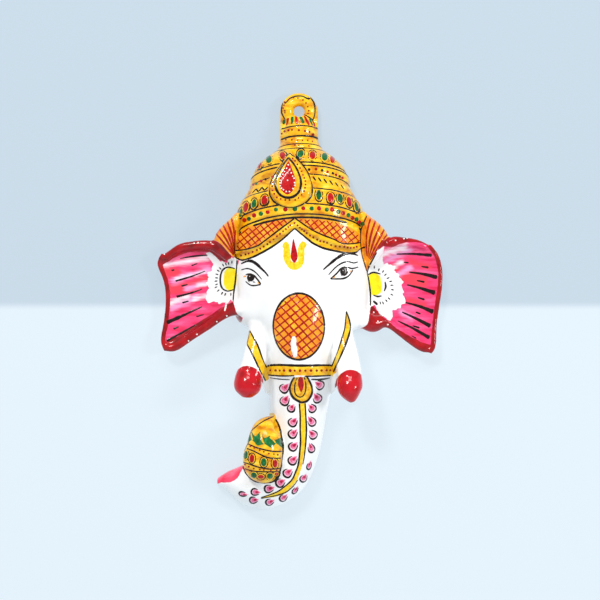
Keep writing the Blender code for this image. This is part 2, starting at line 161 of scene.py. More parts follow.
SWEET = (
    (-25.5, -305.5, 22, 1, 3), (-29.5, -310, 25, 7, 8), (-33, -317, 28, 13, 13),
    (-34, -326, 30, 16.4, 16), (-34.7, -336, 31, 18.4, 18), (-36.4, -347, 30.5, 20, 19),
    (-36.4, -355, 30, 19, 18), (-35.6, -363, 29.5, 15.6, 15.5), (-35, -369, 29, 9.6, 11),
    (-35, -372.6, 28.5, 2, 5),
)
LEFT_KNOT = (
    (-60, -102, 24, 3, 8), (-64.5, -111, 22, 6, 12), (-69.5, -120.5, 20, 10, 14),
    (-72.5, -129.5, 18, 12.6, 13.5), (-71, -138.5, 17, 8, 11), (-66, -148, 16, 2.5, 6),
)
RIGHT_KNOT = (
    (62, -101, 24, 3, 8), (67, -110, 22, 6.8, 12), (73.5, -120, 20, 10.6, 14),
    (77.5, -130, 18, 12.6, 13.5), (75.5, -142, 17, 8, 11), (70.5, -155, 16, 3, 6),
)

# Ear edges: x, z from the head outwards along the top and the bottom, and down the outer side.
# Rims: x, z, radius from the head outwards.
LEFT_EAR = {
    "top": ((-56, -150), (-70, -144), (-86, -133), (-104, -131), (-121, -133.5), (-136, -143)),
    "bottom": (
        (-56, -202), (-67, -204), (-78, -209), (-90, -218), (-106, -228.5), (-125, -240), (-133, -240),
    ),
    "outer": (
        (-136, -143), (-140, -153), (-134, -169), (-131.5, -186), (-133.5, -210), (-136.5, -229),
        (-133, -240),
    ),
    "top rim": (
        (-70, -147, 4.4), (-78, -139.5, 5.6), (-89, -134, 5), (-104, -134, 4.6), (-120, -137, 4.2),
        (-134, -147, 3.6),
    ),
    "bottom rim": (
        (-60, -196, 8), (-70, -199, 7.2), (-80, -206, 5.4), (-92, -215, 4.6), (-108, -225.5, 4.4),
        (-124, -236, 4.4), (-132.5, -236.5, 4.2),
    ),
}
RIGHT_EAR = {
    "top": ((60, -142), (78, -138), (93, -128), (104, -127), (118, -128.5), (130, -134)),
    "bottom": (
        (60, -216), (70, -219), (76, -220), (83, -217), (90, -216.5), (99, -223), (111, -233),
        (122, -240), (131, -242),
    ),
    "outer": (
        (130, -134), (138, -145), (141.8, -161), (141.4, -176), (138.6, -196), (136, -215),
        (135, -235), (131, -242),
    ),
    "top rim": (
        (87.5, -134.5, 4.6), (95, -130.5, 5.4), (104, -130.5, 4.8), (117, -132, 4.2),
        (127.5, -136, 3.6),
    ),
    "bottom rim": (
        (65, -208, 9), (74, -212.4, 9.4), (84, -210.5, 6.8), (92, -213.5, 5), (101, -220.5, 4.6),
        (112, -229.5, 4.4), (123, -236.5, 4.4), (130.5, -238, 4.2),
    ),
}
EAR_ROWS = 28
EAR_COLUMNS = 24
EAR_ROOT_DEPTH = 22
EAR_EDGE_DEPTH = 12
EAR_DISH = 7
EAR_DISH_START, EAR_DISH_SPAN = 0.25, 0.6
EAR_RIM_SINK = 1.0
EAR_OUTER_RIM = 2.6
EAR_OUTER_RIM_SINK = 1.5
EAR_OUTER_RIM_DEPTH = 1.15
EAR_RIPPLE, EAR_RIPPLES, EAR_RIPPLE_START = 1.1, 2.5, 0.1
RIM_END_SHARE = 0.5

# Scalloped brim over the brow: share of the way across, z of its lower edge.
BRIM_EDGE = (
    (0, -140), (0.12, -143), (0.25, -137.5), (0.38, -128.5), (0.485, -117), (0.59, -128.5),
    (0.72, -136.5), (0.88, -139.5), (1, -136),
)
BRIM_PROUD = 2.4
BRIM_BORDER = 2.0
BRIM_TOP = -100
BRIM_COLUMNS, BRIM_ROWS = 48, 12
BRIM_END = 0.02
BRIM_SPREAD, BRIM_TUCK = 1.012, 0.97
BRIM_BORDER_SHARE = 0.6

# Jewel on the crown: a drop, which is a circle under two straight sides that meet at its tip.
JEWEL_X, JEWEL_Z = -8.5, -76
JEWEL_RADIUS, JEWEL_TIP = 21, 36
JEWEL_TIP_DEPTH, JEWEL_FOOT_DEPTH = 42, 57
JEWEL_STEPS = ((1.0, -16), (1.0, -1.5), (0.93, 0), (0.66, 0.6), (0.6, 2.2), (0.45, 2.8), (0.2, 3.0))

# Hanging eye: a round-topped plate with a ring on it.
EYE_RADIUS = 19
EYE_PLATE_DEPTH = 7.5
EYE_RING_DEPTH = 8
EYE_FOOT_Z = -36
RING_BORE_MARGIN = 0.2
RING_EDGE_MARGIN = 2.6
RING_FLATNESS = 0.9
RING_STEPS, RING_POINTS = 48, 20
EYE_ARC_STEPS = 24

# Fields of colour on the skin, as outlines in the photograph's pixels.
CROWN_FIELD = (
    (200, 60), (400, 60), (400, 213), (366.5, 214), (366, 246.8), (360.2, 249), (355.6, 252.5),
    (347.5, 253.2), (341, 252.3), (332, 250.5), (323, 248.2), (313.8, 244), (308.4, 240),
    (301, 233.5), (294.6, 228.6), (288, 234.6), (282, 240), (273, 246.4), (263.8, 251.8),
    (253.8, 256.8), (245.6, 259.5), (241, 260), (233.8, 256.4), (230, 240), (230, 213), (200, 213),
)
LEFT_PANEL = (
    (292.8, 218.9), (292.6, 220.2), (277, 231.8), (263.8, 241.8), (257.5, 246), (245.6, 249.5),
    (236, 250.5), (237, 240), (240, 232.6), (252, 226), (266, 221.6), (280, 219.2),
)
RIGHT_PANEL = (
    (296.6, 218.9), (297, 219.9), (314.2, 231.4), (334.7, 240), (341, 243.2), (350.2, 244),
    (359.3, 242.7), (361, 238), (359, 233.6), (350, 227.6), (338, 222.8), (325, 220), (310, 218.8),
)
LEFT_KNOT_FIELD = (
    (236.4, 206), (226, 212), (210, 224), (205, 236), (213, 239.5), (220.7, 243.8), (227.3, 251),
    (234, 257), (235.5, 250), (236.2, 240), (236.4, 230),
)
RIGHT_KNOT_FIELD = (
    (366.7, 213), (376, 212), (392, 220), (398, 231), (387, 238), (381, 244), (375.6, 253.6),
    (370, 263.6), (366.7, 271.3), (362.2, 255), (360.6, 241.3), (361, 230),
)
LEFT_EAR_FIELD = (
    (150, 220), (205, 234), (213, 239.5), (220.7, 243.8), (227.3, 251), (234, 257), (236.8, 260),
    (236.5, 267.3), (235.2, 281), (233.4, 294.5), (233, 301.8), (236, 312), (236, 326), (150, 370),
)
LEFT_WHITE_FIELD = (
    (207, 254), (209.6, 253.2), (219.6, 260.4), (226, 261.6), (231, 258.5), (238, 259), (238, 281),
    (235, 301.8), (231.8, 302.2), (226, 301), (216, 303.3), (206, 301), (208.4, 292.2),
    (206, 283.3), (208.4, 274.4), (211.8, 266.7),
)
LEFT_TOP_RIM = (
    (150, 225), (205, 234), (213, 239.5), (220.7, 243.8), (227.3, 251), (232, 256.5), (226, 261),
    (219.6, 260), (209.6, 252.2), (198.4, 251.7), (185, 252.8), (174, 257.8), (165, 263), (150, 268),
)
LEFT_BOTTOM_RIM = (
    (236, 301.8), (231.8, 302.2), (220.7, 307.8), (209.6, 315.6), (198.4, 322.2), (187.3, 330),
    (176.2, 336.7), (163, 343.3), (150, 350), (150, 375), (238, 330),
)
LEFT_OUTER_RIM = ((163, 252), (159.6, 264), (165, 281), (167.3, 297), (165.3, 321), (162.3, 340), (166, 352))
RIGHT_EAR_FIELD = (
    (450, 222), (392, 232), (386, 238), (381, 244), (375.6, 253.6), (370, 263.6), (367, 271.5),
    (369.4, 283.6), (370.6, 294.7), (370.6, 305.8), (369.4, 314.7), (366.8, 324.7), (360, 330.2),
    (372, 338), (450, 372),
)
RIGHT_WHITE_FIELD = (
    (383.3, 246), (384.4, 261.3), (392.2, 265.8), (397.8, 272.4), (402.2, 283.6), (404.4, 294.7),
    (402.2, 305.8), (393.3, 312.4), (390, 319), (381, 314.7), (372.8, 305.8), (365, 304),
    (364, 262), (372, 256), (378, 248),
)
RIGHT_TOP_RIM = (
    (450, 225), (390, 233), (381, 244), (377.5, 251), (383.3, 246.4), (392.2, 247), (401, 243.6), (410, 242),
    (423.3, 243.6), (431, 248), (437.8, 261.3), (450, 262),
)
RIGHT_BOTTOM_RIM = (
    (372.8, 305.8), (381, 314.7), (392.2, 324.7), (403.3, 332.4), (417.8, 340.2), (428.9, 344.7),
    (450, 350), (450, 372), (372, 338), (358, 331), (366.8, 324.7), (369.4, 314.7), (370.4, 307),
)
RIGHT_OUTER_RIM = (
    (430, 245), (437.5, 256), (441.2, 272), (440.6, 287), (437.8, 307), (435.2, 326),
    (433.6, 348),
)
LEFT_LOBE_FIELD = (
    (236, 268.6), (229, 267.8), (224.8, 271), (223.2, 279), (224.6, 287), (228.5, 290.8), (234.5, 290),
    (236.4, 281),
)
RIGHT_LOBE_FIELD = (
    (368.9, 275.5), (374, 273), (380, 275.5), (382, 284), (381, 292.5), (376, 295.5), (371, 294),
    (369, 285),
)
MOUTH_FIELD = (
    (208, 486), (214, 474), (231, 468), (237.8, 463), (241.7, 456.7), (243.3, 465.6), (241, 472.2),
    (236.7, 479), (230, 482.2), (221, 483.3),
)
SWEET_FIELD = (
    (273.6, 413), (262, 417), (252, 424), (246, 431), (244.4, 441), (242.6, 445.6),
    (240, 453.3), (240.4, 462.2), (242.8, 467.8), (247.4, 476), (254.4, 481.6), (263.3, 483.4),
    (272.2, 482.3), (278.3, 477), (281.6, 466.7), (282.8, 457.8), (283.6, 446.7), (282.3, 437.8),
    (280, 426.7), (276, 418.6),
)
SWEET_ZIGZAG = (
    (249, 433.5), (251.5, 431.4), (255.5, 436), (260.5, 431), (264.5, 437.5), (270, 435), (275, 439.5),
    (283, 437), (283.4, 448), (276, 442.5), (272, 447.5), (264.8, 443.6), (258, 445), (252, 439.5),
    (247.4, 442.5),
)
BAND_FIELD = ((266, 366), (299, 366), (332.6, 366), (332.6, 375), (299, 375), (267.4, 375.2))
LEFT_RIBBON = (
    (249.8, 330), (246.6, 343), (250.5, 350.5), (256, 361), (261, 371), (265.6, 381), (269, 379),
    (267.4, 367.5), (263.3, 360), (258, 346),
)
RIGHT_RIBBON = (
    (346.3, 310.5), (350.8, 327.3), (345.4, 345), (333.4, 372.5), (333, 377), (329.5, 375), (331.5, 367),
    (337.5, 351), (341.6, 338), (344.6, 327),
)
FOREHEAD_OVAL = (298.8, 326.3, 25.5, 33)
LEFT_TIP_OVAL = (247.6, 382.4, 15.6, 17)
RIGHT_TIP_OVAL = (350.4, 386.6, 15.4, 17.2)
OUTER_RIM_WIDTH = 2.6
# Smears in the ears' pink: points along the stroke, its width. The pale ones are partly pale paint and partly
# painted highlights.
PALE_SMEARS_AND_HIGHLIGHTS = (
    (((160, 265), (182, 262), (206, 257.6)), 4.2), (((176, 278.6), (190, 276), (204, 272)), 2.0),
    (((170, 303), (178, 299.4), (187, 297)), 4.0), (((198, 285), (207, 283)), 3.0),
    (((194, 299), (208, 296)), 3.4), (((382, 255), (392, 250.6), (405, 246.6)), 5.0),
    (((393, 268), (402, 262)), 3.0),
)
LILAC_SMEARS = (
    (((173, 281), (190, 275), (208, 270)), 5.6), (((172, 309), (180, 305), (196, 297)), 5.0),
    (((186, 289), (204, 283)), 4.4), (((384, 262), (396, 256), (410, 250)), 5.0),
    (((396, 276), (410, 268)), 5.0), (((402, 312), (412, 318)), 4.0),
)
CORAL_SMEARS = (
    (((172, 289), (188, 287), (204, 281)), 12.0), (((165, 272), (176, 272)), 10.0),
    (((396, 272), (408, 277), (422, 281)), 13.0), (((412, 262), (428, 266)), 7.0),
    (((410, 300), (424, 304)), 6.0),
)
OUTLINE_STEP = 3
FAR, TINY = 1e9, 1e-9
FEATHER = 1.17
FEATHER_TURNS = 4
FEATHER_WAVES = ((1, 2.3, 0), (0.8, 5.1, 1), (0.5, 9.7, 2))
NOT_THERE = -5
NEAR_LOBE = 48
TIP_DEPTH = 22
FRONT_ONLY = 0.12

# Strokes and dots, in the photograph's pixels.
EYE_RING_LINE = (
    (284.8, 118.6), (281.7, 112.4), (281.4, 106.8), (283.9, 99.3), (289.5, 93.6), (297, 92.3),
    (303.3, 92.3), (309.5, 95.5), (313.6, 101), (315, 108.6), (314.5, 115), (312.6, 119.9),
)
EYE_RING_WIDTHS = (1.2, 1.7, 1.7, 1.2)
EYE_DOT_SIZE = 0.9
EYE_DOTS = (
    (293.6, 97), (298, 97.5), (288.4, 99), (284.5, 101.4), (283.9, 104.4), (283, 107.4), (284.8, 110.2),
    (285, 112), (303, 99.4), (306, 102.4), (307.8, 106), (308.8, 110.2), (308, 113),
)
FINIAL_LINE = ((302.6, 113.6), (307, 115.5), (312, 119.3), (315, 124.9))
FINIAL_LINE_WIDTHS = (0.7, 1.1, 0.7)
FINIAL_STRIPE_WIDTHS = (1.6, 2.3, 1.9)
FINIAL_DOT_SIZE = 1.25
FINIAL_STRIPES = (
    ((284.5, 119), (283.3, 123.6)), ((288.3, 117.4), (286.5, 124.9)), ((292.3, 116), (291.9, 123.6)),
    ((296, 115.5), (297, 123.6)), ((299.8, 114.9), (303.6, 123)), ((304.5, 115.5), (309.2, 124.9)),
    ((309.5, 118), (312.6, 124.9)), ((313.6, 122), (315, 126)),
)
FINIAL_DOTS = (
    (281.7, 133, 0.8), (284.5, 130.8, 1), (288.4, 130, 1), (292, 129.6, 0.9), (298.9, 130, 1),
    (305, 130.8, 1), (309.3, 131.6, 1), (313, 134.3, 1.4), (285.8, 139.4, 0.7), (291.9, 139.6, 0.7),
    (297.6, 139.9, 0.7), (302.6, 140.2, 0.7), (307.8, 140.2, 0.7), (312.3, 141, 0.7),
    (283.9, 145.2, 0.7), (295, 145, 0.7), (299, 145.4, 0.7), (308.9, 145.8, 0.7),
)
# Lines round the crown: z at the front, width.
CROWN_LINES = (
    (-14.4, 1.0), (-24.6, 1.2), (-32.4, 0.8), (-37.0, 0.9), (-51.6, 1.1), (-54.6, 1.0), (-63.6, 0.8),
    (-77.3, 1.2), (-92.8, 1.2), (-103.5, 1.1), (-106.9, 1.5),
)
CROWN_LINE_REACH, CROWN_LINE_STEP = 84, 2
CROWN_SLANT, CROWN_SLANT_SPAN = 2.2, 100
# The jewel hides a line within this angle where the skin stands this far before the crown.
JEWEL_SIDE, JEWEL_PROUD = 60, 2.5
# Gems and stripes alternate in these colours. Gems: middle, half width, half height, degrees of lean.
GREEN_RED = ("green", "red")
UPPER_OVALS = (
    (259.5, 164.7, 1.6, 4, 0), (268.7, 159, 2.6, 4, 0), (282.8, 155.9, 2.6, 4, -20),
    (300.5, 154, 2.6, 4, 20), (312.4, 155.5, 2.6, 4, 0), (324.6, 156.8, 2.6, 4, 0),
    (332.4, 159, 2, 4, 0),
)
ROPE_DOTS = (
    ("black", 309, 170), ("dark_red", 316, 169.5), ("black", 322, 170.7), ("red", 327.4, 172),
    ("black", 332.8, 173.4), ("red", 336, 175), ("black", 339.6, 176.4), ("red", 342.5, 177.7),
    ("red", 272.4, 177.3), ("black", 265.5, 179.5), ("red", 261, 181), ("green", 256, 183.6),
    ("red", 253, 184.3),
)
ROPE_DOT_SIZE = 1.5
ROPE_WIDTHS = (0.8, 1.3, 0.7)
ROPE_STROKES = (
    ((312.6, 176.8), (315.8, 181)), ((318, 177.8), (321.4, 182.2)), ((323.6, 179), (327, 183.6)),
    ((329.4, 180.6), (332.8, 185.2)), ((335, 182.4), (338.4, 187)), ((340.6, 184.6), (343.8, 189)),
    ((268, 187), (264.6, 190.4), (262, 187.8), (258.6, 191.6), (256, 189.4), (252, 193.4)),
)
LOWER_OVALS = (
    (318.7, 195.5, 2.3, 5, -4), (330.5, 198.2, 2.7, 5, -6), (340, 198.6, 2.3, 4.5, -8),
    (349, 201.8, 2, 5, -10), (356.5, 206.8, 1.4, 5, -12), (264.6, 200.5, 2.7, 5, 6),
    (254.2, 204, 2, 4.6, 8), (245.8, 207.3, 2, 5, 10), (240.7, 212.7, 1.1, 4.6, 12),
)
# A gem's dark edge, collet and stone: colour, wider by, higher by, layer.
GEM_RINGS = (("black", 2.7, 2.6, 1), ("gold", 1.6, 1.5, 2.5), (None, 0.8, 0.7, 4.5))
BOTTOM_DOT_SIZE = 2.35
BOTTOM_DOTS = (
    (276, 210), (285.4, 210), (295, 209.5), (303.3, 208.8), (311.6, 209), (319, 208.8), (326.6, 210),
    (332, 209.8), (338.3, 212), (343, 213.5), (348.3, 215.3), (352.4, 218), (356.4, 219.4),
    (359, 222.3), (362.4, 224), (267.8, 212.5), (261, 214), (254.2, 215.6), (249, 219), (244.5, 220.2),
)
JEWEL_OUTLINE_WIDTHS = (1.0, 1.5, 1.5, 1.0)
JEWEL_INNER_WIDTHS = (1.3, 1.9, 1.3)
PEARL_SIZE = 0.85
RING_DOT_SIZE = 1.0
JEWEL_OUTLINE = (
    (289.6, 153.6), (298.7, 161), (306, 170), (310, 179), (312.2, 188.2), (311, 196.4), (306, 202.7),
    (297.8, 206.8), (290.5, 208), (283.3, 206.8), (275, 202.7), (270.5, 196.4), (269.6, 190),
    (270.5, 183.6), (275, 174.5), (281.5, 164.5), (287, 156.4), (289.6, 153.6),
)
JEWEL_INNER = (
    (288.5, 158), (295, 166.4), (299.6, 176.4), (301, 183.6), (299.6, 191), (295, 196.4),
    (288.3, 198.4), (281.5, 196.4), (277, 191), (275.4, 183.6), (277, 176.4), (282.4, 166.4),
    (288.5, 158),
)
JEWEL_DROP = (
    (288.5, 161.4), (292.6, 170), (295.3, 178), (295.6, 185), (293, 192), (287.4, 196), (281.6, 192),
    (278.8, 185), (279.6, 178), (283.6, 170),
)
JEWEL_PEARLS = (
    (288.3, 165.5), (286.7, 169), (289.6, 170.5), (284.5, 172.3), (291.3, 173.6), (283, 175),
    (292.8, 177), (281.2, 177.3), (294, 179), (280.3, 181), (294.6, 183.5), (280, 183.6), (294.8, 186),
    (280.3, 186.5), (293, 189.4), (281.5, 189), (289.5, 192.3), (283.5, 190.5), (286.3, 192.3),
    (287.6, 181),
)
JEWEL_RING_DOTS = (
    (292.8, 159), (295, 161.5), (297.4, 165), (300, 168.6), (301.6, 171.8), (303, 175.5),
    (304.2, 178.6), (305.3, 181.6), (305.5, 185.2), (305, 188.5), (304, 191.6), (301.6, 195.3),
    (298.5, 198.6), (295.3, 200.5), (289.6, 200.6), (285.4, 200.6), (280.8, 199.5), (277, 198),
    (274.4, 194.4), (272.6, 191), (272.4, 186.8), (273, 182.7),
)
BROW_UPPER_LEFT = ((294.2, 219), (277, 231.8), (263.8, 241.8), (257.5, 246), (245.6, 249.5), (235, 250.5))
BROW_UPPER_RIGHT = (
    (295, 218.6), (314.2, 231.4), (334.7, 240), (341, 243.2), (350.2, 244), (360.4, 242.6),
)
BROW_LOWER_LEFT = (
    (294.6, 228.6), (282, 240), (273, 246.4), (263.8, 251.8), (253.8, 256.8), (245.6, 259.5),
    (241, 260), (234.2, 256.6),
)
BROW_LOWER_RIGHT = (
    (294.6, 228.6), (308.4, 240), (313.8, 244), (323, 248.2), (332, 250.5), (341, 252.3),
    (347.5, 253.2), (355.6, 252.5), (360.2, 249), (365.4, 246.9),
)
BROW_BEADS_LEFT = (
    (294.6, 223.4), (290.4, 225.7), (285.8, 229.5), (277, 236.6), (267.5, 244.4), (263.8, 246.8),
    (260.5, 248.8), (257, 250.2), (252.7, 252), (248.8, 253.6), (245.6, 254.5), (241, 255.4),
)
BROW_BEADS_RIGHT = (
    (297.5, 225.7), (299.9, 228), (304.2, 231.4), (310, 235.8), (320.2, 241.4), (323.8, 242), (327, 243),
    (331, 245.3), (335.4, 246.4), (339.7, 246.8), (344.3, 247), (347.5, 247.7), (350.6, 248),
    (353.8, 247.7), (356.5, 246.8),
)
BROW_UPPER_WIDTHS = (0.9, 1.1, 0.8)
BROW_LOWER_WIDTHS = (1.0, 1.5, 1.0)
BEAD_SIZE, BEAD_STEP = 1.1, 3.6
LATTICE_MIDDLE = (294.5, 232)
LATTICE_REACH = 75
LATTICE_MARGIN = 0.4
LATTICE_WIDTH, LATTICE_TAPER = 1.0, 0.7
LATTICE_STEP = 5.2
LATTICE_ANGLES = (48, -38)
# Lines in black: points, widths along them.
FACE_LINES = (
    (((236.8, 260), (236.5, 267.3), (235.2, 281), (233.4, 294.5), (233, 301.8)), (0.7, 1.3, 0.8)),
    (((362.2, 255.8), (366.7, 270.2), (369.4, 283.6), (370.6, 294.7), (370.6, 305.8)), (0.7, 1.3, 0.8)),
    (((235.7, 230), (234.6, 250), (236.8, 259.4)), (0.6, 1.1, 0.9)),
    (((366.7, 215.8), (361, 230), (360.6, 241.3), (362.2, 255.8), (366.7, 271.3)), (0.7, 1.2, 0.8)),
    (((376.7, 252.4), (372, 261), (369, 267), (367.2, 273.6)), (0.6, 1.1, 0.7)),
)
EYE_LINES = (
    (((241, 263.8), (246.5, 261.4), (251.5, 261.2), (256.5, 264), (261, 268.2), (265.6, 272.7),
      (268.6, 276.6)), (0.8, 2.4, 2.0, 0.7)),
    (((241, 270), (247, 268.6), (252, 270), (256.5, 273.2), (262, 279.5)), (0.5, 1.0, 0.5)),
    (((245.6, 275), (249.3, 274), (253.8, 275.5), (258, 280), (261, 284.5)), (0.8, 1.4, 0.9)),
    (((245.6, 281.4), (250.2, 285), (254.7, 285.6), (261, 284.5)), (0.6, 1.1, 0.8)),
    (((323, 270), (329.3, 264.5), (336.5, 258.6), (343.8, 254.5), (351, 253.6), (358, 255.5)),
     (0.7, 2.1, 2.1, 0.8)),
    (((328.4, 275), (334.7, 268.2), (341, 263.6), (347.5, 261.8), (353.8, 263), (358, 261.8)),
     (0.5, 1.1, 0.6)),
    (((330.2, 279), (336.5, 273.6), (341, 268.6), (346.5, 267.3), (352, 268.6), (358.4, 267)),
     (0.8, 1.3, 0.7)),
    (((330.2, 279), (336.5, 279), (343, 278.6), (348.4, 276), (353, 270)), (0.7, 1.4, 0.8)),
)
IRISES = ((250.8, 277.6, 4.2, 4.3), (343.8, 271.6, 4.2, 4.9))
IRIS_SHADES = (
    ((252.6, 281.6), (255.6, 282.6)), ((247.6, 279.6), (249.6, 282.6)), ((346.8, 271.6), (348.4, 273.6)),
    ((340.4, 274), (342.2, 276.4)),
)
IRIS_SHADE_WIDTHS = (0.7, 1.0, 0.5)
GLINT_LEFT, GLINT_UP, GLINT_SIZE = 0.9, 1.2, 0.5
EYE_CORNERS = ((244.9, 276.4), (259, 283), (333.6, 277.2), (351.3, 271.2))
EYE_CORNER_SIZE = (1.6, 1.0)
TILAK_WIDTHS = (5.0, 5.2, 4.8, 5.4, 4.8, 5.2, 4.4)
TILAK_U = (
    (283.4, 244), (286.5, 247), (287, 256), (288.5, 262.5), (294.5, 267), (300.5, 262.5),
    (301.2, 256), (301.5, 248), (305, 242.6),
)
TILAK_DROP = (
    (293.4, 238.4), (295.6, 246), (297.4, 253), (297.8, 258.8), (294.4, 263.8), (290.9, 258.8),
    (290.9, 253), (291.8, 246),
)
OVAL_RIM_STEP = 10
OVAL_RIM_WIDTHS = (1.5,)
OVAL_MARGIN = 0.5
OVAL_LATTICE_STEP, OVAL_LATTICE_WIDTH, OVAL_LATTICE_REACH = 6.4, 1.25, 1.1
OVAL_HIGHLIGHT_WIDTHS = (2.4, 5.2, 4.6, 2.6)
OVAL_HIGHLIGHT = ((294, 336), (293.6, 345), (295, 353), (294.4, 357))
RIBBON_LINES = (
    (((247.2, 344), (251, 351), (256, 361), (261, 371.6), (265.6, 381)), (0.8, 1.4, 0.9)),
    (((249.8, 330.6), (253.6, 337.4), (258, 345.4), (263.3, 360), (267, 367.6)), (0.7, 1.4, 1.0)),
    (((249.8, 330.6), (248.6, 337), (247.2, 344)), (0.7, 0.9)),
    (((346.3, 311.2), (350.4, 327.3), (345, 345), (339.2, 358.6), (333.2, 372)), (0.7, 1.5, 1.2)),
    (((346.3, 311.2), (344.8, 327), (341.8, 338), (337.6, 351), (331.6, 366.6)), (0.6, 1.2, 1.0)),
)
BAND_LINES = (
    (((267.2, 365.9), (272.2, 365), (282, 364.7), (299, 365.2), (321, 365), (331.5, 365.3)), (1.2, 1.9, 1.3)),
    (((268, 375), (281, 375.7), (294.4, 375.3)), (0.8, 1.2, 0.8)),
    (((304.4, 375.9), (318, 375.8), (331, 375.4)), (0.8, 1.2, 0.8)),
    (((269.6, 377.8), (281, 379), (290, 379.4)), (0.6, 1.0, 0.5)),
    (((311, 379), (321, 379.2), (330, 377.9)), (1.0, 1.9, 0.8)),
)
BAND_DOTS = (
    (270.3, 0.8), (275.6, 1.1), (279.8, 0.9), (284.2, 1.2), (290.2, 1.3), (294.7, 1), (300, 1.2),
    (305.3, 1), (311, 1.2), (316.7, 1), (321.4, 1.1), (326.4, 0.9), (330.2, 0.8),
)
BAND_DOT_Y = 370.2
BAND_DOT_SIZE = 1.2
PENDANT_OUTER_WIDTHS = (1.3, 1.9, 1.9, 1.3)
PENDANT_INNER_WIDTHS = (0.9, 1.3, 0.9)
PENDANT_OUTER = (
    (294.4, 376.6), (290.5, 384.4), (290.2, 391), (293.3, 397.2), (299, 401), (302.2, 402),
    (307.8, 400), (311.7, 393.3), (311.7, 386.7), (308.9, 380), (306.7, 376.2),
)
PENDANT_INNER = (
    (297.2, 377), (295, 384.4), (295, 392.2), (297.8, 396), (301.7, 396.4), (305, 392.2),
    (305.8, 384.4), (304.4, 376.7),
)
PENDANT_DROP = (
    (298.6, 376.4), (302.6, 376.4), (303.6, 381), (303.9, 385.6), (301.2, 392.6), (298, 385.6),
    (297.9, 381),
)
STEM_LEFT = (
    (299.4, 402.8), (300.2, 415.6), (300.2, 429), (300.5, 442), (299.4, 455.6), (298.3, 464.4),
    (296, 471), (291.7, 480), (283, 487.8), (275.6, 492.6), (261, 497.8),
)
STEM_RIGHT = (
    (305, 402.8), (305.8, 415.6), (306.4, 429), (305.8, 442), (304.4, 455.6), (302.8, 464.4),
    (301, 471), (297.8, 480), (291.7, 487.8), (282, 494), (261, 498.6),
)
STEM_FILL = 0.6
# The stem's right line is broken after this many points.
STEM_BREAK = 6
STEM_LINES = (
    (STEM_LEFT, (1.0, 1.4, 0.8)), (STEM_RIGHT[:STEM_BREAK], (0.9, 1.3, 0.5)),
    (STEM_RIGHT[STEM_BREAK + 1:], (0.5, 1.3, 0.6)),
)
# A petal's fills: colour, share of its size, layer.
PETAL_FILLS = (("pale_pink", 1.12, 1.5), ("pink", 0.94, 2.5), ("crimson", 0.5, 4))
PETAL_ARC_WIDTHS = (0.2, 1.2, 1.3, 1.2, 0.2)
PETAL_ARC_SIZE = (1.22, 1.25)
PETAL_POINTS = 18
PETAL_ARC = slice(3, 15)
PETAL_SHIFT, PETAL_BELLY, PETAL_TAPER = 0.1, 0.62, 1.4
# Petals: middle, pointed end, length, width.
PETALS = (
    ((285.6, 386.7), (290, 382), 10.5, 8), ((285.8, 399), (289, 394.4), 10.5, 8),
    ((292.2, 406.7), (295, 402.8), 8.5, 6.6), ((294, 420.6), (298.3, 416), 10, 7.6),
    ((294, 432.2), (297.8, 428.3), 10, 7.6), ((294.4, 445), (299, 440.6), 10, 7.6),
    ((293.9, 458.9), (298.3, 454.4), 10, 7.6), ((288.9, 471.7), (293.9, 467.2), 10, 7.6),
    ((281.7, 481.7), (286.7, 478.3), 10, 7.6), ((270.6, 488.3), (276.7, 487), 10, 7),
    ((256.7, 492.2), (262.8, 492.8), 9, 6), ((244.4, 494.4), (250.6, 495), 9, 4),
    ((318.3, 384), (315, 381.7), 9.6, 7.8), ((316.3, 396.7), (313.3, 392.2), 10, 8),
    ((311, 407), (307.8, 403.3), 9, 7), ((310.6, 420), (306.7, 414.4), 10.5, 7),
    ((311.7, 433.3), (307.8, 429), 10, 7.4), ((310.6, 446.7), (308.3, 441), 10, 6),
    ((309.7, 464.4), (311, 460), 9, 4), ((304.4, 477.2), (306.7, 473.3), 9, 6),
    ((296, 489.4), (299, 485), 9, 4), ((284.4, 497.2), (289, 492.8), 9, 6),
    ((271, 501.7), (276.7, 499), 9, 6), ((255, 500.2), (260.6, 499.4), 9, 6),
)
SWEET_LINES = (
    (((273.6, 416.4), (263.3, 421), (255.6, 426.7), (250.6, 432.2), (249, 441), (246.7, 445.6),
      (243.3, 453.3), (241.7, 462.2), (243.3, 467.8), (247.8, 475.6), (254.4, 481), (263.3, 482.8),
      (272.2, 481.7), (277.8, 476.7), (281, 466.7), (282.2, 457.8), (283, 446.7), (281.7, 437.8),
      (279.4, 426.7), (275.6, 419)), (1.0, 1.1, 1.2, 1.4, 2.2, 2.0, 1.2)),
    (((247.8, 443.3), (253, 445.4), (260, 447.8), (272, 450.5), (282, 451)), (0.7, 0.9, 0.8)),
    (((246.7, 447.8), (254.4, 450.6), (267.8, 456.7), (281, 457.8)), (0.7, 0.9, 0.8)),
    (((242.8, 461.7), (249, 463.3), (260, 466.7), (270, 468.3), (280.4, 468)), (0.7, 0.9, 0.8)),
    (((244.4, 468.3), (254.4, 470.6), (265.6, 471), (279.6, 471.4)), (0.7, 0.9, 0.8)),
)
SWEET_BEAD_SIZE = 0.95
PRONG_WIDTHS = (1.6, 1.0)
SWEET_BEADS = (
    (250.6, 445.6), (254.4, 447.2), (260, 449.4), (264, 451), (269, 452.8), (274, 453.4), (277.8, 454.2),
    (245, 464), (249, 466), (254, 467.8), (260, 468.6), (264, 469.2), (271, 469.8), (276.7, 469.8),
)
SWEET_OVALS = (
    (246, 454.6, 1.4, 4, 8), (252.2, 457.8, 1.9, 4, 4), (264, 461.4, 2.4, 4, 0), (275, 462.8, 2, 4, -4),
    (254, 474.6, 2.6, 2.6, 0), (261, 476, 2.6, 1.5, 0), (270, 475.4, 2.6, 2.6, 0),
    (276.6, 473.6, 1.5, 1.2, 0),
)
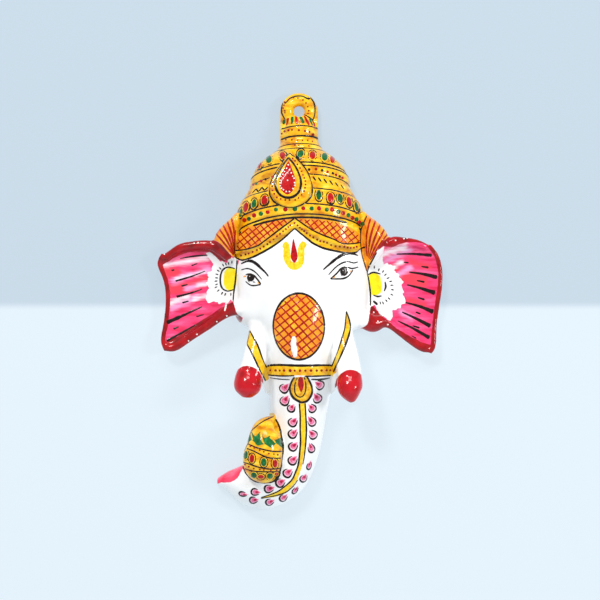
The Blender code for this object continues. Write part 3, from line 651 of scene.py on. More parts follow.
SWEET_PRONGS = (
    ((251, 433), (252.6, 440)), ((260.6, 432), (262.4, 439.6), (264.4, 443.3)),
    ((270, 436), (274, 440), (275.6, 442.6)),
)
LEFT_EAR_STROKES = (
    (((207.3, 255), (194, 256), (179.6, 258.3)), (0.7, 1.3, 0.5)), (((191, 265.6), (197, 263.3)), (1.1, 0.6)),
    (((171, 270.2), (174, 269.8)), (1.6, 1.0)), (((175, 281), (190, 276.6), (205, 271)), (1.6, 1.1, 0.5)),
    (((181, 286), (187.3, 284.4)), (1.3, 0.6)), (((176, 296.7), (189, 293.4), (201.8, 289)), (1.8, 1.2, 0.5)),
    (((181.8, 302.8), (188.4, 301)), (1.3, 0.6)),
    (((166.2, 322.8), (178, 317.6), (190, 312), (201.8, 306.7)), (3.2, 2.4, 1.5, 0.6)),
    (((196, 316.7), (204, 314.4)), (1.2, 0.5)), (((173, 329), (178.4, 326.7)), (1.5, 0.8)),
    (((166.2, 341), (181, 333), (196, 324.4)), (1.8, 1.3, 0.6)),
)
RIGHT_EAR_STROKES = (
    (((396.7, 254), (414, 253.8), (432.2, 255.2)), (0.7, 1.6, 2.6)),
    (((409.4, 272), (424, 274), (437.8, 277.4)), (0.7, 2.0, 3.6)),
    (((407.2, 284.7), (421, 288.2), (435.6, 293)), (0.7, 2.0, 3.6)),
    (((405.6, 302.4), (420, 306.4), (433.9, 312)), (0.7, 2.0, 3.6)),
    (((402.2, 312), (416, 318.4), (431, 326.3)), (0.7, 2.0, 3.6)),
    (((397.8, 320.8), (414, 328.8), (430, 338)), (0.7, 1.8, 3.0)),
    (((404, 262), (409, 262.7)), (0.6, 1.2)), (((421.7, 266.3), (429, 267.4)), (0.8, 1.6)),
    (((417.2, 280.4), (425, 282)), (0.8, 1.5)), (((418.3, 297.4), (425, 299.7)), (0.8, 1.5)),
    (((416, 312), (421, 314)), (0.8, 1.4)), (((412.8, 325.8), (420, 328)), (0.8, 1.5)),
    (((411.7, 335.8), (416.7, 338.6)), (0.8, 1.4)),
)
LOBE_ARCS = (
    (((235, 268.6), (227.3, 267.2), (221.8, 271), (220, 280), (221.8, 287.8), (227.3, 291), (234, 289.4)),
     (0.7, 1.1, 1.2, 1.1, 0.7)),
    (((368.3, 274.7), (373.3, 272.4), (381, 274)), (0.7, 1.3, 0.8)),
    (((385.2, 281.6), (386, 286.6), (384.4, 291.3)), (0.7, 1.4, 0.7)),
    (((373.3, 294.9), (377.8, 296.5), (382, 295.8)), (0.7, 1.3, 0.8)),
    (((373.3, 300.8), (377.8, 304.7)), (1.2, 2.0)),
)
LEFT_LOBE_MIDDLE = (231, 279)
LEFT_TICKS = (
    (231.8, 262), (228.4, 263.3), (225.7, 264), (222.9, 265), (220, 268.3), (217.9, 270.6), (216.6, 274.2),
    (216.2, 277.8), (215.7, 281), (216.2, 284.4), (215.7, 287.2), (217.9, 290.6), (221.8, 293.3),
    (225, 294.4), (230.7, 294.4),
)
RIGHT_LOBE_MIDDLE = (375, 285)
RIGHT_TICKS = (
    (374.4, 267), (379, 269.7), (383.3, 271.3), (385.6, 274.7), (388.3, 278), (391, 281.3), (392.2, 285.2),
    (392.8, 289.7), (392.2, 294.7), (389.4, 298.6), (386.7, 300.8), (383.3, 303), (380.6, 303),
)
TICK_LENGTH = 3.2
STRIPE_WIDTHS = (1.3, 1.6, 0.7)
TICK_WIDTHS = (0.9, 0.6)
LEFT_KNOT_STRIPES = (
    ((214.6, 232), (224, 243), (233.4, 255)), ((217.6, 226.6), (226.6, 240), (233.8, 254.6)),
    ((221.6, 222.4), (229, 237), (234, 254)), ((226.2, 218.6), (231.6, 234), (234.4, 253.4)),
    ((231, 216), (234, 230), (234.9, 250)),
)
RIGHT_KNOT_STRIPES = (
    ((370.4, 218.6), (366.4, 236), (367, 256)), ((375.4, 220.8), (370.4, 237), (367.8, 257)),
    ((380.6, 223.6), (374.4, 239), (368.6, 258)), ((385.4, 227.4), (377.6, 242), (369.4, 259)),
    ((389, 232), (380, 244.4), (370.4, 260)),
)
# Dabs of white on the ears' rims, partly white paint and partly painted highlights: middle, radius.
WHITE_DABS_AND_HIGHLIGHTS = (
    (194, 243, 0.7), (198, 242.4, 0.7), (210.7, 242.4, 0.7), (164, 254, 0.7), (226.8, 316, 0.8),
    (216.8, 321.7, 0.8), (196.8, 334.4, 0.8), (188.4, 341, 0.8), (395.6, 240.4, 0.8), (404, 238.6, 0.8),
    (407.2, 238, 0.7), (373.9, 312.4, 0.8), (377.8, 321.3, 0.8), (387.8, 324.7, 0.8),
    (401.7, 339.7, 0.8), (412.8, 347.4, 0.8), (418.9, 351.3, 0.8),
)
# A painted highlight in white: a short streak down the left ear's lower rim.
EAR_PAINTED_HIGHLIGHT = ((226.8, 299), (226.2, 304), (224.6, 311))
EAR_PAINTED_HIGHLIGHT_WIDTHS = (2.2, 1.4, 0.8)

# Paints: base colour, darker and lighter neighbours, roughness.
PAINTS = {
    "black": ((22, 11, 8), (12, 6, 4), (40, 20, 12), 0.3),
    "dark_red": ((148, 14, 8), (100, 6, 4), (180, 34, 14), 0.25),
    "red": ((184, 5, 12), (140, 3, 8), (206, 20, 20), 0.22),
    "rust": ((176, 28, 4), (140, 16, 2), (202, 58, 12), 0.25),
    "green": ((8, 98, 44), (3, 62, 28), (26, 128, 66), 0.25),
    "white": ((250, 248, 244), (236, 232, 226), (255, 255, 255), 0.18),
    "pink": ((242, 110, 158), (225, 70, 125), (255, 170, 200), 0.25),
    "pale_pink": ((255, 196, 216), (248, 160, 192), (255, 236, 242), 0.22),
    "crimson": ((190, 20, 62), (140, 8, 38), (220, 60, 95), 0.25),
    "yellow": ((255, 208, 24), (246, 178, 10), (255, 228, 80), 0.25),
    "gold": ((246, 184, 26), (220, 140, 12), (255, 214, 70), 0.3),
    "orange": ((246, 150, 40), (225, 110, 20), (255, 185, 80), 0.28),
    "grey": ((135, 130, 128), (95, 92, 90), (175, 170, 168), 0.3),
}

# The skin's enamels: darker, base and lighter colour, size of the unevenness, its stretch.
ENAMELS = {
    "white": ((246, 245, 243), (252, 252, 251), (254, 254, 254), 30),
    "gold": ((214, 132, 4), (250, 188, 16), (255, 224, 66), 7, (0.6, 0.6, 1.6)),
    "orange": ((240, 122, 14), (255, 160, 34), (255, 188, 60), 9),
    "pink": ((224, 34, 84), (244, 62, 118), (252, 96, 148), 7, (0.28, 1, 1.5)),
    "dark_red": ((124, 0, 4), (160, 0, 8), (184, 6, 18), 10),
    "tip_red": ((164, 0, 12), (198, 2, 24), (212, 12, 36), 12),
    "yellow": ((250, 208, 4), (255, 230, 12), (255, 242, 60), 8),
    "band": ((236, 156, 10), (252, 196, 26), (255, 222, 70), 6),
    "green": ((4, 76, 34), (8, 106, 48), (34, 140, 74), 4),
    "mouth": ((244, 48, 84), (255, 74, 108), (255, 104, 134), 10),
    "oval": ((244, 124, 18), (255, 156, 28), (255, 204, 50), 14),
}
# Darker patches laid at random over the gold: their colour, the size of the unevenness, and its range.
DARK_GOLD_PATCHES = (188, 98, 2)
DARK_PATCH_SIZE = 15
DARK_PATCH_RANGE = (0.5, 0.74, 0, 0.6)
# The pale tint is partly pale paint and partly painted highlights.
SMEAR_TINTS = (("coral", (238, 62, 84)), ("lilac", (246, 160, 210)), ("pale", (255, 240, 246)))
SMEAR_EDGE = {"softness": 3.0, "ragged": 3.6, "size": 4, "stretch": (0.25, 1, 1.8)}
# Fields in the order they are laid over the white: field, enamel, how its edge is painted.
FIELD_LAYERS = (
    ("crown", "gold", {}), ("panel", "orange", {}), ("ear", "pink", {"ragged": 1.2, "size": 3}),
    ("rim", "dark_red", {"ragged": 0.8}), ("lobe", "yellow", {"ragged": 0.8}), ("knot", "orange", {}),
    ("tip", "tip_red", {}), ("mouth", "mouth", {"ragged": 1.0}), ("sweet", "gold", {}),
    ("zigzag", "green", {"ragged": 0.7}), ("oval", "oval", {}), ("yellow", "band", {}),
)
# From the unevenness to a share: darker paint, lighter paint, and the gloss.
DARK_RANGE, LIGHT_RANGE, GLOSS_RANGE = (0.3, 0.5), (0.5, 0.72), (0.2, 0.8)
GLOSS_LOW, GLOSS_HIGH = 0.7, 1.4
SKIN_FINISH = {"roughness": 0.2, "coat": 0.55, "bump_size": 14.0, "bump": 0.2}
BRUSHED_FINISH = {"coat": 0.35, "bump_size": 1.6, "bump": 0.1}
ENAMEL_BUMP = 0.35
ENAMEL_IOR = 1.5
ENAMEL_SPECULAR = 0.15
COAT_ROUGHNESS = 0.03
BRUSHED_GRAIN = 3.2
# Bare casting: darker, base and lighter metal, size of the unevenness, and the overspray.
BARE_METAL = ((120, 118, 114), (158, 156, 152), (190, 188, 184), 5)
OVERSPRAY = (226, 224, 220)
OVERSPRAY_SIZE, CASTING_GRAIN = 22, 1.1
OVERSPRAY_RANGE = (0.48, 0.7)
CASTING_METALLIC = (0, 1, 0.85, 0)
CASTING_ROUGHNESS = (0.3, 0.7, 0.42, 0.68)
CASTING_BUMP, CASTING_BUMP_DEPTH = 0.6, 0.5
# The standard curve of screen colours.
CURVE_TOE, CURVE_SLOPE, CURVE_OFFSET, CURVE_POWER = 0.04045, 12.92, 0.055, 2.4

# Room, in metres
WALL_GAP = 0.0006
ROOM = 1.6
FLOOR_SHARE = 0.55
TONE_EDGE_Y = 306
TONE_BLUR = 5
UPPER_TONE = (203, 219, 232)
LOWER_TONE = (231, 244, 253)
WHITE_LEVEL = 1.2
WALL_GLOW = 0.72
WALL_ROUGHNESS = 0.9
CAMERA_DISTANCE = 3.0
SENSOR = 36
MIDDLE_DEPTH = 25
# Softboxes: name, place, size, watts. They look at one place of the layout grid.
SOFTBOXES = (
    ("key", (-0.6, -1.15, 1.0), (0.3, 0.3), 13),
    ("fill", (1.3, -0.95, 0.1), (0.3, 0.36), 9),
    ("top", (0.05, -0.8, 0.95), (0.5, 0.22), 3.4),
)
LIT_PLACE = (0, -190, 20)
AMBIENT = 0.57


def at(x, z, depth):
    """A point of the layout grid, in metres."""
    return Vector((x, -depth, z)) * UNIT


def catmull(before, start, end, after, t):
    """A point between start and end on a smooth curve through all four."""
    return tuple(
        b + 0.5 * t * (c - a + t * (2 * a - 5 * b + 4 * c - d + t * (3 * b - a - 3 * c + d)))
        for a, b, c, d in zip(before, start, end, after)
    )


def through(points, count):
    """Evenly spread points on a smooth curve through the given tuples."""
    spans = len(points) - 1
    made = []
    for step in range(count):
        place = step / (count - 1) * spans
        i = min(int(place), spans - 1)
        made.append(catmull(
            points[max(i - 1, 0)], points[i], points[i + 1], points[min(i + 2, spans)], place - i,
        ))
    return made


def smooth_line(points, closed=False, step=STROKE_STEP):
    """Points about one step apart on a smooth curve through the given ones."""
    count = len(points)
    made = []
    for i in range(count if closed else count - 1):
        if closed:
            before, start, end, after = (points[(i + k) % count] for k in (-1, 0, 1, 2))
        else:
            before, start, end, after = (points[min(max(i + k, 0), count - 1)] for k in (-1, 0, 1, 2))
        parts = max(round(math.dist(start, end) / step), 1)
        made += [catmull(before, start, end, after, part / parts) for part in range(parts)]
    if not closed:
        made.append(tuple(points[-1]))
    return made


def half_section(half_width, depth, squareness=2.0):
    """(across, depth) of a domed section, from its left foot over the front to its right foot."""
    points = []
    for k in range(SECTION_POINTS + 1):
        angle = math.pi * k / SECTION_POINTS
        cosine, sine = math.cos(angle), math.sin(angle)
        across = -math.copysign(abs(cosine) ** (2 / squareness), cosine) * half_width
        points.append((across, max(sine, 0) ** (2 / squareness) * depth))
    return points


def circle(count):
    """(cosine, sine) of angles evenly spread round a circle."""
    return [(math.cos(2 * math.pi * k / count), math.sin(2 * math.pi * k / count)) for k in range(count)]


def bridge(mesh, first, second, turned=False):
    """Joins two closed loops of the same length with faces."""
    for k in range(len(first)):
        after = (k + 1) % len(first)
        corners = (first[k], first[after], second[after], second[k])
        mesh.faces.new(corners[::-1] if turned else corners)


def add_loft(mesh, rings):
    """Skins closed rings of points one after another and caps both ends."""
    loops = [[mesh.verts.new(point) for point in ring] for ring in rings]
    for lower, upper in zip(loops, loops[1:]):
        bridge(mesh, lower, upper)
    mesh.faces.new(loops[0][::-1])
    mesh.faces.new(loops[-1])


def add_plate(mesh, front, back):
    """Closes two grids of points of the same size into a plate."""
    grids = [[[mesh.verts.new(point) for point in row] for row in grid] for grid in (front, back)]
    rows, columns = len(front), len(front[0])
    for layer, grid in enumerate(grids):
        for i in range(rows - 1):
            for j in range(columns - 1):
                corners = (grid[i][j], grid[i + 1][j], grid[i + 1][j + 1], grid[i][j + 1])
                mesh.faces.new(corners[::-1] if layer else corners)
    border = [(i, 0) for i in range(rows)]
    border += [(rows - 1, j) for j in range(1, columns)]
    border += [(i, columns - 1) for i in range(rows - 2, -1, -1)]
    border += [(0, j) for j in range(columns - 2, 0, -1)]
    for (i, j), (m, n) in zip(border, border[1:] + border[:1]):
        mesh.faces.new((grids[0][i][j], grids[1][i][j], grids[1][m][n], grids[0][m][n]))


def with_back(ring):
    """Closes a domed section behind the wall plane."""
    right, left = ring[-1].copy(), ring[0].copy()
    right.y = left.y = BACK_OVERLAP * UNIT
    return ring + [right, left]


def crown_rings(inset=0.0, first=0):
    """The crown's tilted rings as points, drawn in by an inset for the hollow."""
    rings = []
    for z, drop, half_width, depth in CROWN_RINGS[first:]:
        ring = []
        for across, out in half_section(half_width - inset, depth - inset):
            ring.append(at(CROWN_SHIFT + across, z - drop * (1 - out / (depth - inset)), out))
        rings.append(with_back(ring))
    return rings


def along_path(stations, count):
    """Stations on a smooth path in the picture plane, each with the way across the path."""
    path = through(stations, count)
    for k, station in enumerate(path):
        ahead, behind = path[min(k + 1, count - 1)], path[max(k - 1, 0)]
        along = Vector((ahead[0] - behind[0], ahead[1] - behind[1])).normalized()
        yield station, Vector((-along.y, along.x))


def domed_rings(stations, count, inset=0.0):
    """Domed sections square to a path: x, z, half width, depth."""
    rings = []
    for (x, z, half_width, depth), side in along_path(stations, count):
        section = half_section(half_width - inset, depth - inset)
        ring = [at(x + side.x * across, z + side.y * across, out) for across, out in section]
        rings.append(with_back(ring))
    return rings


def round_rings(stations, count, points=LIMB_POINTS):
    """Elliptical sections square to a path: x, z, depth of the middle, half width, half depth."""
    rings = []
    for (x, z, middle, half_width, half_depth), side in along_path(stations, count):
        ring = []
        for cosine, sine in circle(points):
            across = half_width * cosine
            ring.append(at(x + side.x * across, z + side.y * across, middle + half_depth * sine))
        rings.append(ring)
    return rings


def smooth_max(first, second, width):
    """The larger of two depths, with a rounded change from one to the other."""
    share = max(width - abs(first - second), 0) / width
    return max(first, second) + share * share * width / 4


def face_rings(count, inset=0.0):
    """The face's sections, with the trunk's root growing out of them."""
    trunk = through(TRUNK_STATIONS, 4 * count)
    rings = []
    for x, z, half_width, depth in through(FACE_STATIONS, count):
        root_x, _, root_half, root_depth = min(trunk, key=lambda station: abs(station[1] - z))
        ring = []
        for across, out in half_section(half_width - inset, depth - inset, FACE_SQUARENESS):
            share = (x + across - root_x) / (root_half - inset)
            root = (root_depth - inset) * math.sqrt(1 - share * share) if abs(share) < 1 else -TRUNK_BLEND
            ring.append(at(x + across, z, smooth_max(out, root, TRUNK_BLEND)))
        rings.append(with_back(ring))
    return rings


def face_depth(across, z):
    """Depth of the face's surface at a height, at a share across from -1 to 1."""
    path = through(FACE_STATIONS, FACE_LOOKUP)
    x, _, half_width, depth = min(path, key=lambda station: abs(station[1] - z))
    out = max(1 - abs(across) ** FACE_SQUARENESS, 0) ** (1 / FACE_SQUARENESS)
    return x + across * half_width, out * depth


def add_brim(mesh):
    """The brim over the brow, with its scalloped lower border as a bead."""
    border, front, back = [], [], []
    for share, lowest in through(BRIM_EDGE, BRIM_COLUMNS):
        across = -math.cos(math.pi * min(max(share, BRIM_END), 1 - BRIM_END))
        column_front, column_back = [], []
        for step in range(BRIM_ROWS + 1):
            z = BRIM_TOP + (lowest - BRIM_TOP) * step / BRIM_ROWS
            x, depth = face_depth(across, z)
            column_front.append(at(x * BRIM_SPREAD, z, depth + BRIM_PROUD))
            column_back.append(at(x * BRIM_TUCK, z, max(depth - 3 * BRIM_PROUD, 0)))
        front.append(column_front)
        back.append(column_back)
        x, depth = face_depth(across, lowest)
        out = depth + BRIM_PROUD * BRIM_BORDER_SHARE
        border.append((x * BRIM_SPREAD, lowest + BRIM_BORDER, out, BRIM_BORDER, BRIM_BORDER))
    add_plate(mesh, front, back)
    add_loft(mesh, round_rings(border, 2 * BRIM_COLUMNS, BEAD_POINTS))


def ear_grid(edges):
    """A patch between the ear's four edges: the root is a straight line from top to bottom."""
    top = through(edges["top"], EAR_COLUMNS)
    bottom = through(edges["bottom"], EAR_COLUMNS)
    outer = through(edges["outer"], EAR_ROWS)
    root = through((top[0], bottom[0]), EAR_ROWS)
    grid = []
    for j in range(EAR_COLUMNS):
        s = j / (EAR_COLUMNS - 1)
        column = []
        for i in range(EAR_ROWS):
            t = i / (EAR_ROWS - 1)
            column.append(tuple(
                (1 - s) * root[i][c] + s * outer[i][c] + (1 - t) * top[j][c] + t * bottom[j][c]
                - (1 - s) * (1 - t) * top[0][c] - (1 - s) * t * bottom[0][c]
                - s * (1 - t) * top[-1][c] - s * t * bottom[-1][c]
                for c in (0, 1)
            ))
        grid.append(column)
    return grid


def ear_depth(s, t):
    """Depth of an ear's front: it leans back outwards, and is dished between its rims."""
    lean = EAR_ROOT_DEPTH + (EAR_EDGE_DEPTH - EAR_ROOT_DEPTH) * s
    ripple = EAR_RIPPLE * math.sin(2 * math.pi * (t * EAR_RIPPLES + EAR_RIPPLE_START)) * s
    dish = math.sin(math.pi * t) * math.sin(math.pi * min(EAR_DISH_START + EAR_DISH_SPAN * s, 1))
    return lean - EAR_DISH * dish + ripple


def add_ear(mesh, edges):
    """A dished plate with a rolled rim along its top and bottom and a thinner one outside."""
    grid = ear_grid(edges)
    thick = EAR_THICKNESS / UNIT
    front, back = [], []
    for j, column in enumerate(grid):
        s = j / (EAR_COLUMNS - 1)
        depths = [ear_depth(s, i / (EAR_ROWS - 1)) for i in range(EAR_ROWS)]
        front.append([at(x, z, depth) for (x, z), depth in zip(column, depths)])
        back.append([at(x, z, depth - thick) for (x, z), depth in zip(column, depths)])
    add_plate(mesh, front, back)
    for name, t in (("top rim", 0), ("bottom rim", 1)):
        root, end = edges[name][0][0], grid[-1][0][0]
        rim = [(x, z, ear_depth((x - root) / (end - root), t) - EAR_RIM_SINK, radius, radius)
               for x, z, radius in edges[name]]
        first, last = rim[0], rim[-1]
        rim.insert(0, (*first[:3], first[3] * RIM_END_SHARE, first[4] * RIM_END_SHARE))
        rim.append((*last[:3], last[3] * RIM_END_SHARE, last[4] * RIM_END_SHARE))
        add_loft(mesh, round_rings(rim, RIM_RINGS, RIM_POINTS))
    outer = []
    for i, (x, z) in enumerate(grid[-1]):
        depth = ear_depth(1, i / (EAR_ROWS - 1)) - EAR_OUTER_RIM_SINK
        outer.append((x, z, depth, EAR_OUTER_RIM, EAR_OUTER_RIM * EAR_OUTER_RIM_DEPTH))
    add_loft(mesh, round_rings(outer, OUTER_RIM_RINGS, BEAD_POINTS))


def teardrop(scale):
    """(x, z) round the drop, at a share of its size."""
    tangent = math.acos(JEWEL_RADIUS / JEWEL_TIP)
    points = []
    for k in range(JEWEL_POINTS):
        angle = 2 * math.pi * k / JEWEL_POINTS - math.pi
        reach = JEWEL_RADIUS / math.cos(max(tangent - abs(angle), 0))
        across, up = scale * reach * math.sin(angle), scale * reach * math.cos(angle)
        points.append((JEWEL_X + across, JEWEL_Z + up))
    return points


def add_jewel(mesh):
    """A drop-shaped plate with a raised middle, set on the crown's front."""
    slope = (JEWEL_FOOT_DEPTH - JEWEL_TIP_DEPTH) / (JEWEL_TIP + JEWEL_RADIUS)
    middle = JEWEL_FOOT_DEPTH - slope * JEWEL_RADIUS
    add_loft(mesh, [
        [at(x, z, middle - slope * (z - JEWEL_Z) + proud) for x, z in teardrop(scale)]
        for scale, proud in JEWEL_STEPS
    ])


def add_eye(mesh):
    """The hanging eye's plate, and the ring on its front."""
    angles = [math.pi * k / EYE_ARC_STEPS for k in range(EYE_ARC_STEPS + 1)]
    outline = [(EYE_RADIUS * math.cos(angle), EYE_RADIUS * math.sin(angle)) for angle in angles]
    outline += [(-EYE_RADIUS, EYE_FOOT_Z), (EYE_RADIUS, EYE_FOOT_Z)]
    layers = (-BACK_OVERLAP, EYE_PLATE_DEPTH)
    add_loft(mesh, [[at(x, z, depth) for x, z in outline] for depth in layers])
    bore = HOLE_RADIUS / UNIT + RING_BORE_MARGIN
    edge = EYE_RADIUS - RING_EDGE_MARGIN
    middle, tube = (edge + bore) / 2, (edge - bore) / 2
    loops = []
    for right, up in circle(RING_STEPS):
        loop = []
        for cosine, sine in circle(RING_POINTS):
            out = middle + tube * cosine
            depth = EYE_RING_DEPTH + tube * RING_FLATNESS * sine
            loop.append(mesh.verts.new(at(out * right, out * up, depth)))
        loops.append(loop)
    for first, second in zip(loops, loops[1:] + loops[:1]):
        bridge(mesh, first, second)


def placed(name, data):
    """An object of the scene for its data."""
    made = bpy.data.objects.new(name, data)
    bpy.context.scene.collection.objects.link(made)
    return made


def new_object(name, mesh):
    """An object from a bmesh."""
    data = bpy.data.meshes.new(name)
    mesh.to_mesh(data)
    mesh.free()
    return placed(name, data)


def closed_object(name, mesh):
    """An object from a bmesh, with its faces turned outwards."""
    bmesh.ops.recalc_face_normals(mesh, faces=mesh.faces)
    return new_object(name, mesh)


def fused(made, voxel, rounds):
    """Fuses overlapping shapes to one skin and softens its creases."""
    remesh = made.modifiers.new("fuse", "REMESH")
    remesh.mode = "VOXEL"
    remesh.voxel_size = voxel * UNIT
    smooth = made.modifiers.new("soften", "SMOOTH")
    smooth.factor = SMOOTH_FACTOR
    smooth.iterations = rounds
    return made


def settle(made):
    """Turns an object's modifiers into plain mesh."""
    graph = bpy.context.evaluated_depsgraph_get()
    data = bpy.data.meshes.new_from_object(made.evaluated_get(graph))
    made.modifiers.clear()
    made.data = data
    return made


def cut(made, cutter):
    """Takes a cutter out of an object."""
    modifier = made.modifiers.new("cut " + cutter.name, "BOOLEAN")
    modifier.operation = "DIFFERENCE"
    modifier.solver = "MANIFOLD"
    modifier.object = cutter


def vertex_values(made, name):
    """A vector of every vertex, one row each."""
    values = np.empty(len(made.data.vertices) * 3)
    made.data.vertices.foreach_get(name, values)
    return values.reshape(-1, 3)


def outer_forms():
    """Every outer form in one overlapping mesh, fused, with the slight unevenness of a sand casting."""
    mesh = bmesh.new()
    add_loft(mesh, crown_rings())
    add_loft(mesh, face_rings(FACE_RINGS))
    add_loft(mesh, domed_rings(TRUNK_STATIONS, TRUNK_RINGS))
    add_loft(mesh, domed_rings(TRUNK_BAND_STATIONS, BAND_RINGS))
    for limb in (LEFT_TUSK, LEFT_TUSK_TIP, LEFT_WEB, LEFT_KNOT,
                 RIGHT_TUSK, RIGHT_TUSK_TIP, RIGHT_WEB, RIGHT_KNOT):
        add_loft(mesh, round_rings(limb, LIMB_RINGS))
    add_loft(mesh, round_rings(SWEET, SWEET_RINGS))
    for edges in (LEFT_EAR, RIGHT_EAR):
        add_ear(mesh, edges)
    add_brim(mesh)
    add_jewel(mesh)
    add_eye(mesh)
    made = settle(fused(closed_object("skin", mesh), VOXEL, SMOOTH_ROUNDS))
    places, normals = vertex_values(made, "co"), vertex_values(made, "normal")
    swell = np.array([noise.noise(Vector(place) / (WOBBLE_SIZE * UNIT)) - 1 for place in places])
    places += normals * swell[:, None] * WOBBLE * UNIT
    made.data.vertices.foreach_set("co", places.ravel())
    made.data.update()
    return made


def make_cavity():
    """The hollow behind the crown, face and trunk, one wall inside them."""
    inset = WALL / UNIT
    mesh = bmesh.new()
    add_loft(mesh, crown_rings(inset, CAVITY_CROWN_FROM))
    add_loft(mesh, face_rings(CAVITY_FACE_RINGS, inset))
    add_loft(mesh, domed_rings(TRUNK_STATIONS[:CAVITY_TRUNK_TO], CAVITY_TRUNK_RINGS, inset))
    return settle(fused(closed_object("cavity", mesh), CAVITY_VOXEL, CAVITY_SMOOTH_ROUNDS))


def make_wall_cutter():
    """Everything behind the wall plane."""
    size = GRID * UNIT
    mesh = bmesh.new()
    bmesh.ops.create_cube(mesh, size=1.0)
    bmesh.ops.scale(mesh, vec=(2 * size, size / 4, 3 * size), verts=mesh.verts)
    bmesh.ops.translate(mesh, vec=(0, size / 8, 0), verts=mesh.verts)
    return new_object("behind", mesh)


def make_hole():
    """The round hole through the hanging eye."""
    mesh = bmesh.new()
    bmesh.ops.create_cone(
        mesh, cap_ends=True, segments=HOLE_SEGMENTS, radius1=HOLE_RADIUS, radius2=HOLE_RADIUS,
        depth=GRID * UNIT / 4,
    )
    made = closed_object("hole", mesh)
    made.rotation_euler = (math.pi / 2, 0, 0)
    return made


def skin_tree(made):
    """A search tree over an object's faces."""
    mesh = bmesh.new()
    mesh.from_mesh(made.data)
    tree = BVHTree.FromBMesh(mesh)
    mesh.free()
    return tree


def make_skin():
    """The hollow casting as one mesh. Its second material takes the faces that were never painted."""
    made = outer_forms()
    cutters = (make_cavity(), make_wall_cutter(), make_hole())
    hollow = skin_tree(cutters[0])
    for cutter in cutters:
        cut(made, cutter)
    settle(made)
    for cutter in cutters:
        bpy.data.objects.remove(cutter, do_unlink=True)
    made.data.materials.clear()
    reach = SKIN_REACH * UNIT
    for face in made.data.polygons:
        on_wall = abs(face.center.y) < reach and face.normal.y > RIM_FACING
        face.material_index = int(on_wall or hollow.find_nearest(face.center, reach)[0] is not None)
    made.data.shade_smooth()
    made.data.set_sharp_from_angle(angle=SHARP_ANGLE)
    return made


def edge_distance(points, start, end):
    """Distance in pixels from points to the straight line between two places."""
    edge = np.subtract(end, start)
    offset = points - start
    share = np.clip(offset @ edge / max(edge @ edge, TINY), 0, 1)
    return np.linalg.norm(offset - share[:, None] * edge, axis=1)


def inside(points, outline):
    """Signed distance in pixels from points to a closed outline, above zero inside it."""
    corners = smooth_line(outline, closed=True, step=OUTLINE_STEP)
    nearest = np.full(len(points), FAR)
    within = np.zeros(len(points), bool)
    for (ax, ay), (bx, by) in zip(corners, corners[1:] + corners[:1]):
        nearest = np.minimum(nearest, edge_distance(points, (ax, ay), (bx, by)))
        if ay != by:
            crosses = (ay > points[:, 1]) != (by > points[:, 1])
            within ^= crosses & (points[:, 0] < ax + (points[:, 1] - ay) / (by - ay) * (bx - ax))
    return np.where(within, nearest, -nearest)


def in_any(points, *outlines):
    """Signed distance in pixels to the edge of several outlines together."""
    return np.maximum.reduce([inside(points, outline) for outline in outlines])


def beside(points, line):
    """Distance in pixels from points to an open line."""
    corners = smooth_line(line, step=OUTLINE_STEP)
    return np.minimum.reduce([
        edge_distance(points, start, end) for start, end in zip(corners, corners[1:])
    ])


def in_oval(points, oval):
    """Rough signed distance in pixels to an oval, above zero inside it."""
    x, y, half_width, half_height = oval
    reach = np.linalg.norm((points - (x, y)) / (half_width, half_height), axis=1)
    return (1 - reach) * min(half_width, half_height)


def smears(points, strokes):
    """Signed distance in pixels to the edge of the nearest of several broad strokes."""
    return np.maximum.reduce([width / 2 - beside(points, line) for line, width in strokes])


def feathered(field, points, middle):
    """Draws a field's edge out into brush marks that radiate from a place near by."""
    across, down = (points - middle).T
    turn = np.arctan2(down, across) * FEATHER_TURNS
    marks = sum(size * np.sin(rate * turn + start) for size, rate, start in FEATHER_WAVES)
    near = np.hypot(across, down) < NEAR_LOBE
    return np.where(near, field + FEATHER * marks, field)


